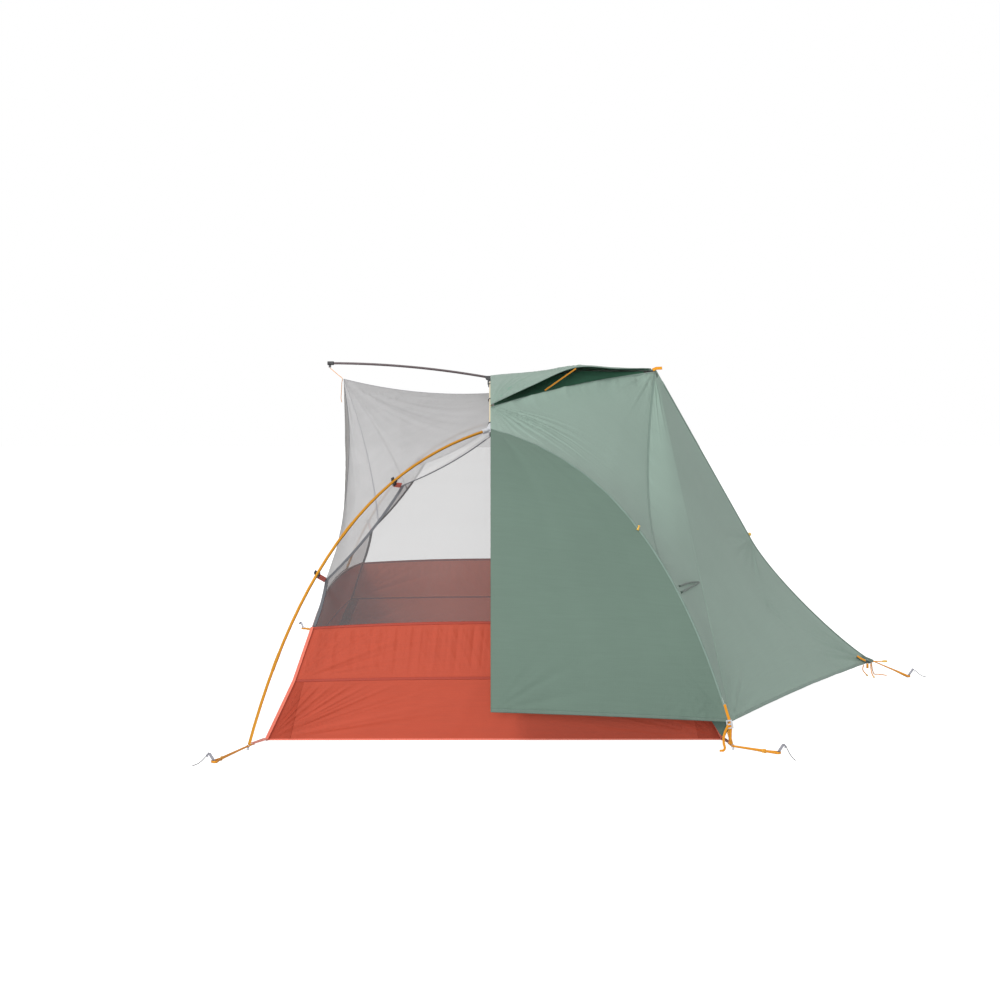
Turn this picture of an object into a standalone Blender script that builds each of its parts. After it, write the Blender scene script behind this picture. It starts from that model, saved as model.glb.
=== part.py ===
"""Lightweight two-person tent, pitched.

The inner tent, its hubbed poles and four corner stakes are whole. The fly covers the right half,
from the middle plane X = 0 to the vestibule. Left is -X, front is -Y, and the ground is Z = 0.
"""
import math

import bmesh
import bpy
from mathutils import Matrix, Vector

# Floor and tub
FLOOR_WIDTH = 1.270
FLOOR_LENGTH = 2.230
FLOOR_THICKNESS = 0.0010
TUB_SEAM_WIDTH = 1.114
TUB_SEAM_LENGTH = 2.190
TUB_SEAM_HEIGHT = 0.166
TUB_TOP_WIDTH = 1.016
TUB_TOP_LENGTH = 2.104
TUB_TOP_HEIGHT = 0.314
TUB_SIDE_RISE = 0.031
TUB_SIDE_BULGE = 0.022
TUB_END_RISE = 0.016

# Poles
POLE_RADIUS = 0.0043
SPREADER_RADIUS = 0.0040
FOOT_X = 0.668
FOOT_Y = 1.265
HUB_Y = 0.720
HUB_HEIGHT = 0.872
RIDGE_HEIGHT = 1.018
LEG_STEEPNESS = (0.196, 0.586)
LEG_SHOULDER = (0.509, 0.892)
FERRULE_LENGTH = 0.050
FERRULE_SWELL = 0.0006
FERRULE_HEIGHTS = (0.270, 0.620)
FOOT_PIN_RADIUS = 0.0030
FOOT_PIN_LENGTH = 0.0160
SPREADER_SPAN = 0.545
SPREADER_RISE_LEFT = 0.049
SPREADER_RISE_RIGHT = 0.018
SPREADER_STANDOFF = 0.016
RUNNING_GAP = 0.0003

# Hubs and tip caps
HUB_BODY_RADIUS = 0.0105
HUB_BODY_HEIGHT = 0.017
SOCKET_WALL = 0.0024
SOCKET_LENGTH = 0.034
SOCKET_STOP = 0.0095
SOCKET_LEAD = 0.006
SOCKET_ROOT = 0.002
SWIVEL_LENGTH = 0.030
SWIVEL_WIDTH = 0.020
SWIVEL_CLEARANCE = 0.0006
SWIVEL_BELOW = 0.0035
SWIVEL_ABOVE = 0.0032
CAP_ABOVE = 0.0025
CAP_LENGTH = 0.044
CAP_WIDTH = 0.014
PIVOT_RADIUS = 0.0035
PIVOT_HEIGHT = 0.0026
TIP_CAP_RADIUS = 0.0065
TIP_CAP_LENGTH = 0.022
TIP_LUG = (0.008, 0.0032, 0.010)
TIP_LUG_DROP = 0.003

# Clips on the legs
CLIP_LOWER_HEIGHT = 0.473
CLIP_UPPER_HEIGHT = 0.727
CLIP_LOWER_REACH = (0.0145, 0.086, 0.026)
CLIP_UPPER_REACH = (0.019, 0.047, 0.016)
CLIP_WALL = 0.0024
CLIP_WIDTH = 0.011
CLIP_NECK = 0.012
CLIP_NECK_HALF = 0.0030
CLIP_EAR = (0.0006, 0.0016)
TAB_SEAT = 0.0016
CLIP_CLEARANCE = 0.0005
TAB_CLEARANCE_LOWER = 0.0004
TAB_CLEARANCE_UPPER = 0.0034
CLIP_MOUTH = math.radians(105.0)
TAB_WIDTH = 0.013
TAB_THICKNESS = 0.0014

# Canopy
FABRIC = 0.0006
SEAM = 0.00048
APEX_FORWARD = 0.022
APEX_DROP = 0.023
APEX_WIDTH = 0.014
CANOPY_DROP = 0.036
CANOPY_RIDGE_BOW = 0.024
CANOPY_TOP_SAG = 0.0195
CORNER_INSET = 0.048
CORNER_DROP = 0.053
CORNER_DROP_RIGHT = 0.038
DOOR_FOOT_Y = 0.560
DOOR_ARC = ((-0.062, -0.040, 0.246), (-0.072, -0.205, 0.506))
DOOR_DROP_RIGHT = 0.075
TRIM_SAG = 0.012
SIDE_SEAM_BOW = 0.016

# Fly
FLY_LIFT_APEX = 0.009
FLY_LIFT_LEG = 0.022
FLY_FORWARD = 0.014
FLY_APEX_FORWARD = 0.036
FLY_APEX_RISE = 0.001
FLY_OVER = 0.0080
FLY_OVER_TIP = 0.0105
FLY_OVER_HUB = 0.013
FLY_OVER_RIDGE_END = 0.008
FLY_OVER_RIDGE = 0.010
FLY_SHOULDER_BACK = 0.012
FLY_HEM_HEIGHT = 0.079
FLY_HEM_CENTRE = 0.100
FLY_HEM_Y = 1.240
FLY_HEM_BOW = 0.002
FLY_END_HOLLOW = 0.010
FLY_NOTCH_HEIGHT = 0.504
FLY_SEAM_SAG = (-0.030, 0.0, -0.082)
FLY_TIP_BEYOND = 0.015
FLY_TIP_DROP = 0.0005
FLY_TIP_FRONT = (-0.010, -0.012, -0.004)
FLY_SEAM_TOP = (0.004, -0.002, -0.004)
HINGE_TOP = (0.0, -0.010, -0.016)
HINGE_LOW = (0.004, 0.004, 0.0)
LEAF_HEM_INSET = 0.001
VENT_CORNER_Y = 0.568
VENT_CORNER_RISE = 0.011
VENT_LIP_BOW = 0.013
HOOD_LIFT = 0.0062
HOOD_FORWARD = 0.006
HOOD_TIP = (-0.016, -0.003, 0.0035)
HOOD_BROW = (0.272, -0.330, 1.063)
HOOD_SHOULDERS = ((0.125, -0.452, 1.002), (0.420, -0.170, 1.062))
HOOD_RIDGE_BOW = 0.024
HOOD_END = 0.955
STRUT_RADIUS = 0.0026
STRUT_FOOT_SHARE = 0.315
STRUT_HEAD_INSET = (0.002, 0.004)
VESTIBULE_REACH = 1.303
VESTIBULE_HEM_HEIGHT = 0.069
VESTIBULE_KNEE = (0.887, 0.486)
VESTIBULE_KNEE_HANDLE = 0.15
VESTIBULE_END_HANDLE = 0.12
VESTIBULE_HEM_RISE = 0.008
DOOR_LEAF_GAP = 0.0001

# Zip slider on the vestibule's ridge
SLIDER_LENGTH = 0.011
SLIDER_WIDTH = 0.008
SLIDER_HEIGHT = 0.005
SLIDER_ALONG = 0.512
SLIDER_ACROSS = 0.990
SLIDER_CLEARANCE = 0.0006
PULL_RADIUS = 0.0062

# Ground tackle
STAKE_X = 0.731
STAKE_Y = 1.447
STAKE_X_RIGHT = 0.780
STAKE_Y_RIGHT = 1.328
STAKE_X_REAR_LEFT = 0.780
VESTIBULE_STAKE = (1.443, 0.080)
STAKE_LENGTH = 0.155
STAKE_ABOVE = 0.036
STAKE_LEAN = math.radians(35.0)
STAKE_SECTION = 0.0085
STAKE_WALL = 0.0014
STAKE_POINT = 0.022
STAKE_HOOK = 0.0105
STRAP_THICKNESS = 0.0012
STRAP_WIDTH = 0.0075
STRAP_CORD_WIDTH = 0.0025
STRAP_LOOP_RIM = 0.0045
STRAP_TWIST = 0.010
STRAP_TAIL = 0.020
GROMMET_TAB = 0.014
STRAP_END_HEIGHT = 0.0050
CORNER_CLEARANCE = 0.0012
GROMMET_HEIGHT = 0.0125
GROMMET_CLEARANCE = 0.0006
STAKE_CLEARANCE = 0.0006
FLY_STRAP_WIDTH = 0.010
FLY_STRAP_STANDOFF = 0.0035
FLY_STRAP_ABOVE_GROMMET = 0.004
FLY_STRAP_FOOT_FORWARD = 0.0085
BUCKLE_DROP = 0.004
BUCKLE_WIDTH = 0.019
BUCKLE_LENGTH = 0.024
BUCKLE_THICKNESS = 0.0040
BUCKLE_WALL = 0.0035
CORD_RADIUS = 0.0010
PULL_CORD_RADIUS = 0.0008

for old in list(bpy.data.objects):
    bpy.data.objects.remove(old, do_unlink=True)

tent = bpy.data.collections.new("lightweight_tent")
bpy.context.scene.collection.children.link(tent)
cutters = bpy.data.collections.new("cutters")
bpy.context.scene.collection.children.link(cutters)


def finish(name, colour, roughness, metallic=0.0):
    """A Principled material."""
    made = bpy.data.materials.new(name)
    made.use_nodes = True
    shader = made.node_tree.nodes["Principled BSDF"]
    shader.inputs["Base Color"].default_value = (*colour, 1.0)
    shader.inputs["Roughness"].default_value = roughness
    shader.inputs["Metallic"].default_value = metallic
    return made


GOLD = finish("gold_anodised_pole", (0.80, 0.45, 0.10), 0.35, 0.8)
CHARCOAL = finish("dark_anodised_pole", (0.09, 0.075, 0.075), 0.45, 0.6)
PALE_HUB = finish("pale_hub", (0.62, 0.62, 0.62), 0.5, 0.2)
BLACK = finish("black_plastic", (0.02, 0.02, 0.02), 0.5)
RUST = finish("tub_nylon", (0.56, 0.10, 0.055), 0.6)
MESH = finish("grey_mesh", (0.58, 0.58, 0.58), 0.8)
GREEN = finish("fly_nylon", (0.27, 0.38, 0.32), 0.6)
DEEP_GREEN = finish("fly_end_nylon", (0.17, 0.26, 0.21), 0.6)
ORANGE = finish("orange_webbing", (0.90, 0.36, 0.03), 0.7)
SILVER = finish("stake_aluminium", (0.42, 0.42, 0.46), 0.4, 0.9)
GREY_CORD = finish("grey_cord", (0.50, 0.50, 0.50), 0.8)


def adopt(thing, material, group=tent):
    """Links an object into its collection and gives it its material."""
    for home in list(thing.users_collection):
        home.objects.unlink(thing)
    group.objects.link(thing)
    if material is not None and not thing.data.materials:
        thing.data.materials.append(material)
    return thing


def lerp(a, b, t):
    return a + (b - a) * t


def arc(a, b, bow=(0.0, 0.0, 0.0)):
    """A parabola from a to b whose middle stands off the chord by bow."""
    start, end, off = Vector(a), Vector(b), Vector(bow)
    return lambda t: lerp(start, end, t) + off * (4.0 * t * (1.0 - t))


def bezier(a, b, c, d):
    """A cubic through a and d, with handles b and c."""
    p = [Vector(q) for q in (a, b, c, d)]
    return lambda t: (
        p[0] * (1 - t) ** 3 + p[1] * 3 * t * (1 - t) ** 2 + p[2] * 3 * t * t * (1 - t) + p[3] * t ** 3
    )


def chain(*runs):
    """One curve from runs of (curve, end of its share of 0 to 1)."""
    def at(t):
        start = 0.0
        for run, end in runs:
            if t <= end + 1e-9:
                return run((t - start) / (end - start))
            start = end
        return runs[-1][0](1.0)
    return at


def chords(curve, count):
    """The curve as a sheet's edge follows it: straight between even steps."""
    def at(t):
        k = min(int(t * count + 1e-9), count - 1)
        return lerp(curve(k / count), curve((k + 1) / count), t * count - k)
    return at


def cut_short(curve, count, end):
    """The first count - 1 steps of a curve, and a last one that stops at end."""
    def at(t):
        last = (count - 1) / count
        return curve(t if t <= last else lerp(last, end, (t - last) * count))
    return at


def part_of(curve, start, end):
    """The stretch of a curve between two of its values."""
    return lambda t: curve(lerp(start, end, t))


def smooth(points):
    """A Catmull-Rom curve through points, with even steps between them."""
    p = [Vector(q) for q in points]
    p = [p[0] * 2 - p[1]] + p + [p[-1] * 2 - p[-2]]
    spans = len(p) - 3

    def at(t):
        i = min(int(t * spans), spans - 1)
        s = t * spans - i
        a, b, c, d = p[i:i + 4]
        return 0.5 * (
            b * 2 + (c - a) * s + (a * 2 - b * 5 + c * 4 - d) * s * s + (b * 3 - a - c * 3 + d) * s ** 3
        )
    return at


def mirrored(curve, sx, sy):
    """A curve carried to another quarter of the tent."""
    def at(t):
        p = curve(t)
        return Vector((p.x * sx, p.y * sy, p.z))
    return at


def reversed_curve(curve):
    return lambda t: curve(1.0 - t)


def sampled(curve, count):
    return [curve(i / count) for i in range(count + 1)]


def at_height(curve, height):
    """Where a curve that only rises reaches a height."""
    low, high = 0.0, 1.0
    for _ in range(40):
        middle = 0.5 * (low + high)
        if curve(middle).z < height:
            low = middle
        else:
            high = middle
    return 0.5 * (low + high)


def frame_matrix(origin, x_axis, z_hint):
    """Axes with X along x_axis and Z as near z_hint as it can be."""
    x = Vector(x_axis).normalized()
    y = Vector(z_hint).cross(x).normalized()
    z = x.cross(y)
    m = Matrix((x, y, z)).transposed().to_4x4()
    m.translation = Vector(origin)
    return m


def coons(bottom, top, left, right):
    """The surface that four edge curves bound: bottom and top run with u, left and right with v."""
    p00, p10 = bottom(0.0), bottom(1.0)
    p01, p11 = top(0.0), top(1.0)

    def at(u, v):
        across = bottom(u) * (1 - v) + top(u) * v
        along = left(v) * (1 - u) + right(v) * u
        flat = p00 * (1 - u) * (1 - v) + p10 * u * (1 - v) + p01 * (1 - u) * v + p11 * u * v
        return across + along - flat
    return at


def grid_points(surface, nu, nv, seams, gap):
    """The surface's grid, drawn in from the edges named in seams: L, R, B and T."""
    grid = {(i, j): surface(i / nu, j / nv) for i in range(nu + 1) for j in range(nv + 1)}
    shifted = dict(grid)

    def draw_in(cells, inward, along):
        for i, j in cells:
            here = grid[i, j]
            before = grid[max(i - along[0], 0), max(j - along[1], 0)]
            after = grid[min(i + along[0], nu), min(j + along[1], nv)]
            step = grid[i + inward[0], j + inward[1]] - here
            edge = (after - before).normalized() if (after - before).length > 1e-9 else Vector()
            step -= edge * step.dot(edge)
            if step.length > 1e-9:
                shifted[i, j] = shifted[i, j] + step.normalized() * gap

    if "L" in seams:
        draw_in([(0, j) for j in range(nv + 1)], (1, 0), (0, 1))
    if "R" in seams:
        draw_in([(nu, j) for j in range(nv + 1)], (-1, 0), (0, 1))
    if "B" in seams:
        draw_in([(i, 0) for i in range(nu + 1)], (0, 1), (1, 0))
    if "T" in seams:
        draw_in([(i, nv) for i in range(nu + 1)], (0, -1), (1, 0))
    return shifted


def fabric(name, patches, material, thickness=FABRIC):
    """A sheet of one or more patches (surface, nu, nv, seams), joined where they meet."""
    bm = bmesh.new()
    for surface, nu, nv, seams in patches:
        points = grid_points(surface, nu, nv, seams, SEAM)
        made = bmesh.ops.create_grid(bm, x_segments=nu, y_segments=nv, size=1.0)["verts"]
        for vert in made:
            i = round((vert.co.x + 1.0) * 0.5 * nu)
            j = round((vert.co.y + 1.0) * 0.5 * nv)
            vert.co = points[i, j]
    bmesh.ops.remove_doubles(bm, verts=bm.verts, dist=0.00002)
    bmesh.ops.recalc_face_normals(bm, faces=bm.faces)
    mesh = bpy.data.meshes.new(name)
    bm.to_mesh(mesh)
    bm.free()
    mesh.shade_smooth()
    sheet = adopt(bpy.data.objects.new(name, mesh), material)
    shell = sheet.modifiers.new("cloth", "SOLIDIFY")
    shell.thickness = thickness
    shell.offset = 0.0
    return sheet


def tube(name, points, radius, material, radii=None, resolution=2):
    """A round bar or cord along points, with an optional radius at each."""
    data = bpy.data.curves.new(name, "CURVE")
    data.dimensions = "3D"
    data.bevel_depth = radius
    data.bevel_resolution = resolution
    data.use_fill_caps = True
    spline = data.splines.new("POLY")
    spline.points.add(len(points) - 1)
    for k, point in enumerate(points):
        spline.points[k].co = (*point, 1.0)
        if radii is not None:
            spline.points[k].radius = radii[k] / radius
    thing = bpy.data.objects.new(name, data)
    return adopt(thing, material)


def trimmed(points, start_gap, end_gap, straight):
    """A polyline that stops short of its ends, and is straight for a length before each."""
    def shorten(run, gap):
        if gap <= 0.0:
            return run
        origin = run[0]
        rest = [p for p in run[1:] if (p - origin).length > straight]
        aim = (rest[0] - origin).normalized()
        return [origin + aim * gap, origin + aim * straight] + rest
    run = shorten(list(points), start_gap)
    run = shorten(run[::-1], end_gap)
    return run[::-1]


def plate(name, outline, holes, thickness):
    """A flat closed plate in XY as a mesh, with its holes."""
    data = bpy.data.curves.new(name, "CURVE")
    data.dimensions = "2D"
    data.fill_mode = "BOTH"
    data.extrude = thickness / 2.0
    for loop in [outline] + list(holes):
        spline = data.splines.new("POLY")
        spline.points.add(len(loop) - 1)
        for k, (x, y) in enumerate(loop):
            spline.points[k].co = (x, y, 0.0, 1.0)
        spline.use_cyclic_u = True
    flat = bpy.data.objects.new(name, data)
    cutters.objects.link(flat)
    mesh = bpy.data.meshes.new_from_object(flat.evaluated_get(bpy.context.evaluated_depsgraph_get()))
    bpy.data.objects.remove(flat, do_unlink=True)
    bm = bmesh.new()
    bm.from_mesh(mesh)
    bmesh.ops.remove_doubles(bm, verts=bm.verts, dist=0.00001)
    bmesh.ops.recalc_face_normals(bm, faces=bm.faces)
    bm.to_mesh(mesh)
    bm.free()
    mesh.name = name
    return mesh


def circle(cx, cy, radius, count):
    return [
        (cx + radius * math.cos(2 * math.pi * k / count), cy + radius * math.sin(2 * math.pi * k / count))
        for k in range(count)
    ]


def block(bm, size, matrix):
    """A box of a size, placed by a matrix."""
    bmesh.ops.create_cube(bm, size=1.0, matrix=matrix @ Matrix.Diagonal((*size, 1.0)))


def rod(bm, radius, start, end, sides=16, far_radius=None):
    """A cylinder or cone between two points."""
    a, b = Vector(start), Vector(end)
    turn = (b - a).to_track_quat("Z", "Y").to_matrix().to_4x4()
    turn.translation = (a + b) / 2.0
    bmesh.ops.create_cone(
        bm, cap_ends=True, segments=sides, radius1=radius,
        radius2=radius if far_radius is None else far_radius, depth=(b - a).length, matrix=turn,
    )


def solid(name, material, shape, group=tent):
    """An object from a function that fills a bmesh."""
    bm = bmesh.new()
    shape(bm)
    mesh = bpy.data.meshes.new(name)
    bm.to_mesh(mesh)
    bm.free()
    return adopt(bpy.data.objects.new(name, mesh), material, group)


def cutter(name, shape):
    """A guide solid for a Boolean, left out of the model."""
    thing = solid(name, None, shape, cutters)
    thing.hide_render = True
    thing.display_type = "WIRE"
    return thing


def combine(target, tools, operation):
    """Boolean modifiers on target, one for each tool."""
    for tool in tools:
        change = target.modifiers.new(operation.lower(), "BOOLEAN")
        change.operation = operation
        change.object = tool
    return target


def soften(thing, width, segments=2):
    """A small bevel on the hard edges."""
    edge = thing.modifiers.new("edges", "BEVEL")
    edge.width = width
    edge.segments = segments
    edge.limit_method = "ANGLE"
    edge.angle_limit = math.radians(40.0)
    return thing


# Frame geometry that the other pieces take their places from

leg_span = math.hypot(FOOT_X, FOOT_Y - HUB_Y)


def leg(t):
    """The right front leg's centre line, from its foot at 0 to the hub at 1."""
    near, far = LEG_STEEPNESS, LEG_SHOULDER
    flat = bezier(
        (0, 0, 0), (near[0] * leg_span, 0, near[1] * HUB_HEIGHT),
        (far[0] * leg_span, 0, far[1] * HUB_HEIGHT), (leg_span, 0, HUB_HEIGHT),
    )(t)
    share = flat.x / leg_span
    return Vector((FOOT_X * (1 - share), -lerp(FOOT_Y, HUB_Y, share), flat.z))


def leg_direction(t):
    return (leg(min(t + 0.01, 1.0)) - leg(max(t - 0.01, 0.0))).normalized()


leg_plan = Vector((FOOT_X, -(FOOT_Y - HUB_Y), 0.0)).normalized()
leg_forward = Vector((leg_plan.y, -leg_plan.x, 0.0))


def ridge(y):
    """The ridge pole's height over the middle line."""
    return lerp(RIDGE_HEIGHT, HUB_HEIGHT, (y / HUB_Y) ** 2)


def spreader_height(x):
    """The gull-wing pole's height: it rises fastest near the middle."""
    rise = SPREADER_RISE_LEFT if x < 0 else SPREADER_RISE_RIGHT
    return RIDGE_HEIGHT + SPREADER_STANDOFF + rise * (1 - (1 - min(abs(x) / SPREADER_SPAN, 1.0)) ** 2)


def tip(side):
    return Vector((side * SPREADER_SPAN, 0.0, spreader_height(side * SPREADER_SPAN)))


def quarter(point, sx, sy):
    """A point of the right front quarter, carried to another one."""
    return Vector((point.x * sx, point.y * sy, point.z))


QUARTERS = [
    ("front_left", -1, 1), ("front_right", 1, 1), ("rear_left", -1, -1), ("rear_right", 1, -1),
]


# Legs, ridge pole, hubs

def stepped(points, places, swell, width, base):
    """Points and radii of a pole with a ferrule sleeve centred at each place along it."""
    out, radii, run = [], [], 0.0
    marks = sorted(
        (place + side * (width / 2 + nudge), radius)
        for place in places
        for side, nudge, radius in (
            (-1, 0.0004, base), (-1, 0.0, base + swell), (1, 0.0, base + swell), (1, 0.0004, base),
        )
    )
    for k in range(len(points) - 1):
        a, b = points[k], points[k + 1]
        length = (b - a).length
        out.append(a)
        inside = any(abs(run - place) < width / 2 for place in places)
        radii.append(base + swell if inside else base)
        for mark, radius in marks:
            if run + 1e-6 < mark < run + length - 1e-6:
                out.append(lerp(a, b, (mark - run) / length))
                radii.append(radius)
        run += length
    out.append(points[-1])
    radii.append(base)
    return out, radii


def polyline_length(points):
    return sum((points[k + 1] - points[k]).length for k in range(len(points) - 1))


for label, sx, sy in QUARTERS:
    line = [quarter(leg(k / 24), sx, sy) for k in range(25)]
    line = trimmed(line[::-1], SOCKET_STOP, 0.0, SOCKET_LENGTH + SOCKET_LEAD)[::-1]
    places = [polyline_length([p for p in line if p.z <= height]) for height in FERRULE_HEIGHTS]
    line, radii = stepped(line, places, FERRULE_SWELL, FERRULE_LENGTH, POLE_RADIUS)
    aim = (line[1] - line[0]).normalized()
    foot = line[0]
    toe = [foot + aim * 0.0020, foot + aim * 0.0040, foot + aim * FOOT_PIN_LENGTH,
           foot + aim * (FOOT_PIN_LENGTH + 0.0006)]
    toe_radii = [FOOT_PIN_RADIUS * 0.6, FOOT_PIN_RADIUS, FOOT_PIN_RADIUS, POLE_RADIUS]
    line = toe + line[1:]
    radii = toe_radii + radii[1:]
    tube(f"leg_{label}", line, POLE_RADIUS, GOLD, radii)

ridge_line = [Vector((0.0, lerp(-HUB_Y, HUB_Y, k / 32), ridge(lerp(-HUB_Y, HUB_Y, k / 32)))) for k in range(33)]
ridge_line = trimmed(ridge_line, SOCKET_STOP, SOCKET_STOP, SOCKET_LENGTH + SOCKET_LEAD)
tube("ridge_pole", ridge_line, POLE_RADIUS, GOLD)


def hub(name, sy):
    """A Y-shaped hub: a round body with a socket for each leg and one for the ridge pole."""
    centre = Vector((0.0, -HUB_Y * sy, HUB_HEIGHT))
    beyond = SOCKET_LENGTH + SOCKET_LEAD
    aims = []
    for sx in (-1, 1):
        run = [quarter(leg(1 - k / 30), sx, sy) for k in range(31)]
        aims.append((next(p for p in run if (p - centre).length > beyond) - centre).normalized())
    run = [Vector((0.0, -y * sy, ridge(y))) for y in (HUB_Y - k * HUB_Y / 16 for k in range(17))]
    aims.append((next(p for p in run if (p - centre).length > beyond) - centre).normalized())
    outer = POLE_RADIUS + RUNNING_GAP + SOCKET_WALL

    def body(bm):
        rod(bm, HUB_BODY_RADIUS, centre - Vector((0, 0, HUB_BODY_HEIGHT / 2)),
            centre + Vector((0, 0, HUB_BODY_HEIGHT / 2)), 24)
    made = solid(name, PALE_HUB, body)
    arms = [
        cutter(f"{name}_arm_{k}", lambda bm, aim=aim: rod(
            bm, outer, centre + aim * SOCKET_ROOT, centre + aim * SOCKET_LENGTH, 20))
        for k, aim in enumerate(aims)
    ]
    bores = [
        cutter(f"{name}_bore_{k}", lambda bm, aim=aim: rod(
            bm, POLE_RADIUS + RUNNING_GAP, centre + aim * (SOCKET_STOP - RUNNING_GAP),
            centre + aim * (SOCKET_LENGTH + 0.01), 16))
        for k, aim in enumerate(aims)
    ]
    combine(made, arms, "UNION")
    combine(made, bores, "DIFFERENCE")
    return made


hub("hub_front", 1)
hub("hub_rear", -1)

# Swivel hub and spreader

base_low = RIDGE_HEIGHT - POLE_RADIUS - SWIVEL_BELOW
base_high = RIDGE_HEIGHT + POLE_RADIUS + SWIVEL_ABOVE
cap_low = base_high + RUNNING_GAP
cap_high = RIDGE_HEIGHT + SPREADER_STANDOFF + SPREADER_RADIUS + CAP_ABOVE


def swivel_base(bm):
    middle = Vector((0, 0, (base_low + base_high) / 2))
    block(bm, (SWIVEL_WIDTH, SWIVEL_LENGTH, base_high - base_low), Matrix.Translation(middle))


def pivot_pin(bm):
    rod(bm, PIVOT_RADIUS, (0, 0, base_high - 0.001), (0, 0, base_high + PIVOT_HEIGHT), 16)


swivel_hub = soften(solid("swivel_hub", BLACK, swivel_base), 0.0018)
combine(swivel_hub, [cutter("swivel_pin", pivot_pin)], "UNION")
combine(swivel_hub, [cutter("ridge_bore", lambda bm: rod(
    bm, POLE_RADIUS + SWIVEL_CLEARANCE, (0, -SWIVEL_LENGTH, RIDGE_HEIGHT), (0, SWIVEL_LENGTH, RIDGE_HEIGHT),
    16))], "DIFFERENCE")


def cap_body(bm):
    middle = Vector((0, 0, (cap_low + cap_high) / 2))
    block(bm, (CAP_LENGTH, CAP_WIDTH, cap_high - cap_low), Matrix.Translation(middle))
    for vert in bm.verts:
        if abs(vert.co.x) > CAP_LENGTH * 0.4 and vert.co.z < middle.z:
            vert.co.x *= 0.62


spreader_points = [
    Vector((x, 0.0, spreader_height(x)))
    for x in (lerp(-SPREADER_SPAN, SPREADER_SPAN, k / 28) for k in range(29))
]
tube("spreader_pole", spreader_points, SPREADER_RADIUS, CHARCOAL)


def cap_bore(bm):
    """A tunnel that follows the spreader through the cap, with its kink in the middle."""
    rings, sides = [], 16
    for x in (-CAP_LENGTH * 0.7, 0.0, CAP_LENGTH * 0.7):
        middle = Vector((x, 0.0, spreader_height(x)))
        rings.append([bm.verts.new(middle + Vector((
            0.0, (SPREADER_RADIUS + SWIVEL_CLEARANCE) * math.cos(2 * math.pi * (k + 0.5) / sides),
            (SPREADER_RADIUS + SWIVEL_CLEARANCE) * math.sin(2 * math.pi * (k + 0.5) / sides),
        ))) for k in range(sides)])
    for a, b in zip(rings, rings[1:]):
        for k in range(sides):
            m = (k + 1) % sides
            bm.faces.new((a[k], a[m], b[m], b[k]))
    bm.faces.new(rings[0][::-1])
    bm.faces.new(rings[-1])
    bmesh.ops.recalc_face_normals(bm, faces=bm.faces)


swivel_cap = soften(solid("swivel_cap", BLACK, cap_body), 0.0016)
combine(swivel_cap, [
    cutter("cap_bore", cap_bore),
    cutter("pivot_hole", lambda bm: rod(
        bm, PIVOT_RADIUS + RUNNING_GAP, (0, 0, cap_low - 0.002),
        (0, 0, base_high + PIVOT_HEIGHT + RUNNING_GAP), 16)),
], "DIFFERENCE")

for label, side in (("left", -1), ("right", 1)):
    end = tip(side)
    inner = end - Vector((side * TIP_CAP_LENGTH * 0.7, 0, 0))
    outer = inner + Vector((side * TIP_CAP_LENGTH, 0, 0))

    def cap(bm, inner=inner, outer=outer):
        rod(bm, TIP_CAP_RADIUS, inner, outer, 20)

    def lug(bm, inner=inner, outer=outer, side=side):
        low = Vector((lerp(inner.x, outer.x, 0.62), 0, inner.z - TIP_CAP_RADIUS - TIP_LUG_DROP))
        block(bm, TIP_LUG, Matrix.Translation(low))

    def bore(bm, inner=inner, end=end, side=side):
        rod(bm, SPREADER_RADIUS + RUNNING_GAP, inner - Vector((side * 0.01, 0, 0)),
            end + Vector((side * RUNNING_GAP, 0, 0)), 16)

    made = soften(solid(f"tip_cap_{label}", BLACK, cap), 0.0012)
    combine(made, [cutter(f"tip_lug_{label}", lug)], "UNION")
    combine(made, [cutter(f"tip_bore_{label}", bore)], "DIFFERENCE")


# Clips

def clip_outline():
    """The hook in section: a C round the pole, ears at its mouth, and a neck on the canopy's side."""
    inner = POLE_RADIUS + CLIP_CLEARANCE
    outer = inner + CLIP_WALL
    half = CLIP_MOUTH / 2
    steps = 9
    neck = math.asin(CLIP_NECK_HALF / outer)
    points = []
    for k in range(steps + 1):
        a = lerp(neck, math.pi - half, k / steps)
        points.append((outer * math.cos(a), outer * math.sin(a)))
    points.append((outer * 1.55 * math.cos(math.pi - half), outer * 1.5 * math.sin(math.pi - half)))
    points.append((outer * 1.55 * math.cos(math.pi - half) + CLIP_EAR[0],
                   outer * 1.5 * math.sin(math.pi - half) - CLIP_EAR[1]))
    for k in range(2 * steps + 1):
        a = lerp(math.pi - half, -(math.pi - half), k / (2 * steps))
        points.append((inner * math.cos(a), inner * math.sin(a)))
    points.append((outer * 1.55 * math.cos(math.pi - half) + CLIP_EAR[0],
                   -(outer * 1.5 * math.sin(math.pi - half) - CLIP_EAR[1])))
    points.append((outer * 1.55 * math.cos(math.pi - half), -outer * 1.5 * math.sin(math.pi - half)))
    for k in range(steps + 1):
        a = lerp(-(math.pi - half), -neck, k / steps)
        points.append((outer * math.cos(a), outer * math.sin(a)))
    points.append((outer + CLIP_NECK, -CLIP_NECK_HALF))
    points.append((outer + CLIP_NECK, CLIP_NECK_HALF))
    return points


def clip_frame(height, reach):
    """Where a clip sits on the right front leg, its canopy point, and its axes."""
    t = at_height(leg, height)
    seat = leg(t)
    along = leg_direction(t)
    pull = seat + Vector((-reach[0], reach[1], -reach[2]))
    toward = pull - seat
    toward -= along * toward.dot(along)
    return seat, along, pull, toward.normalized()


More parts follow.
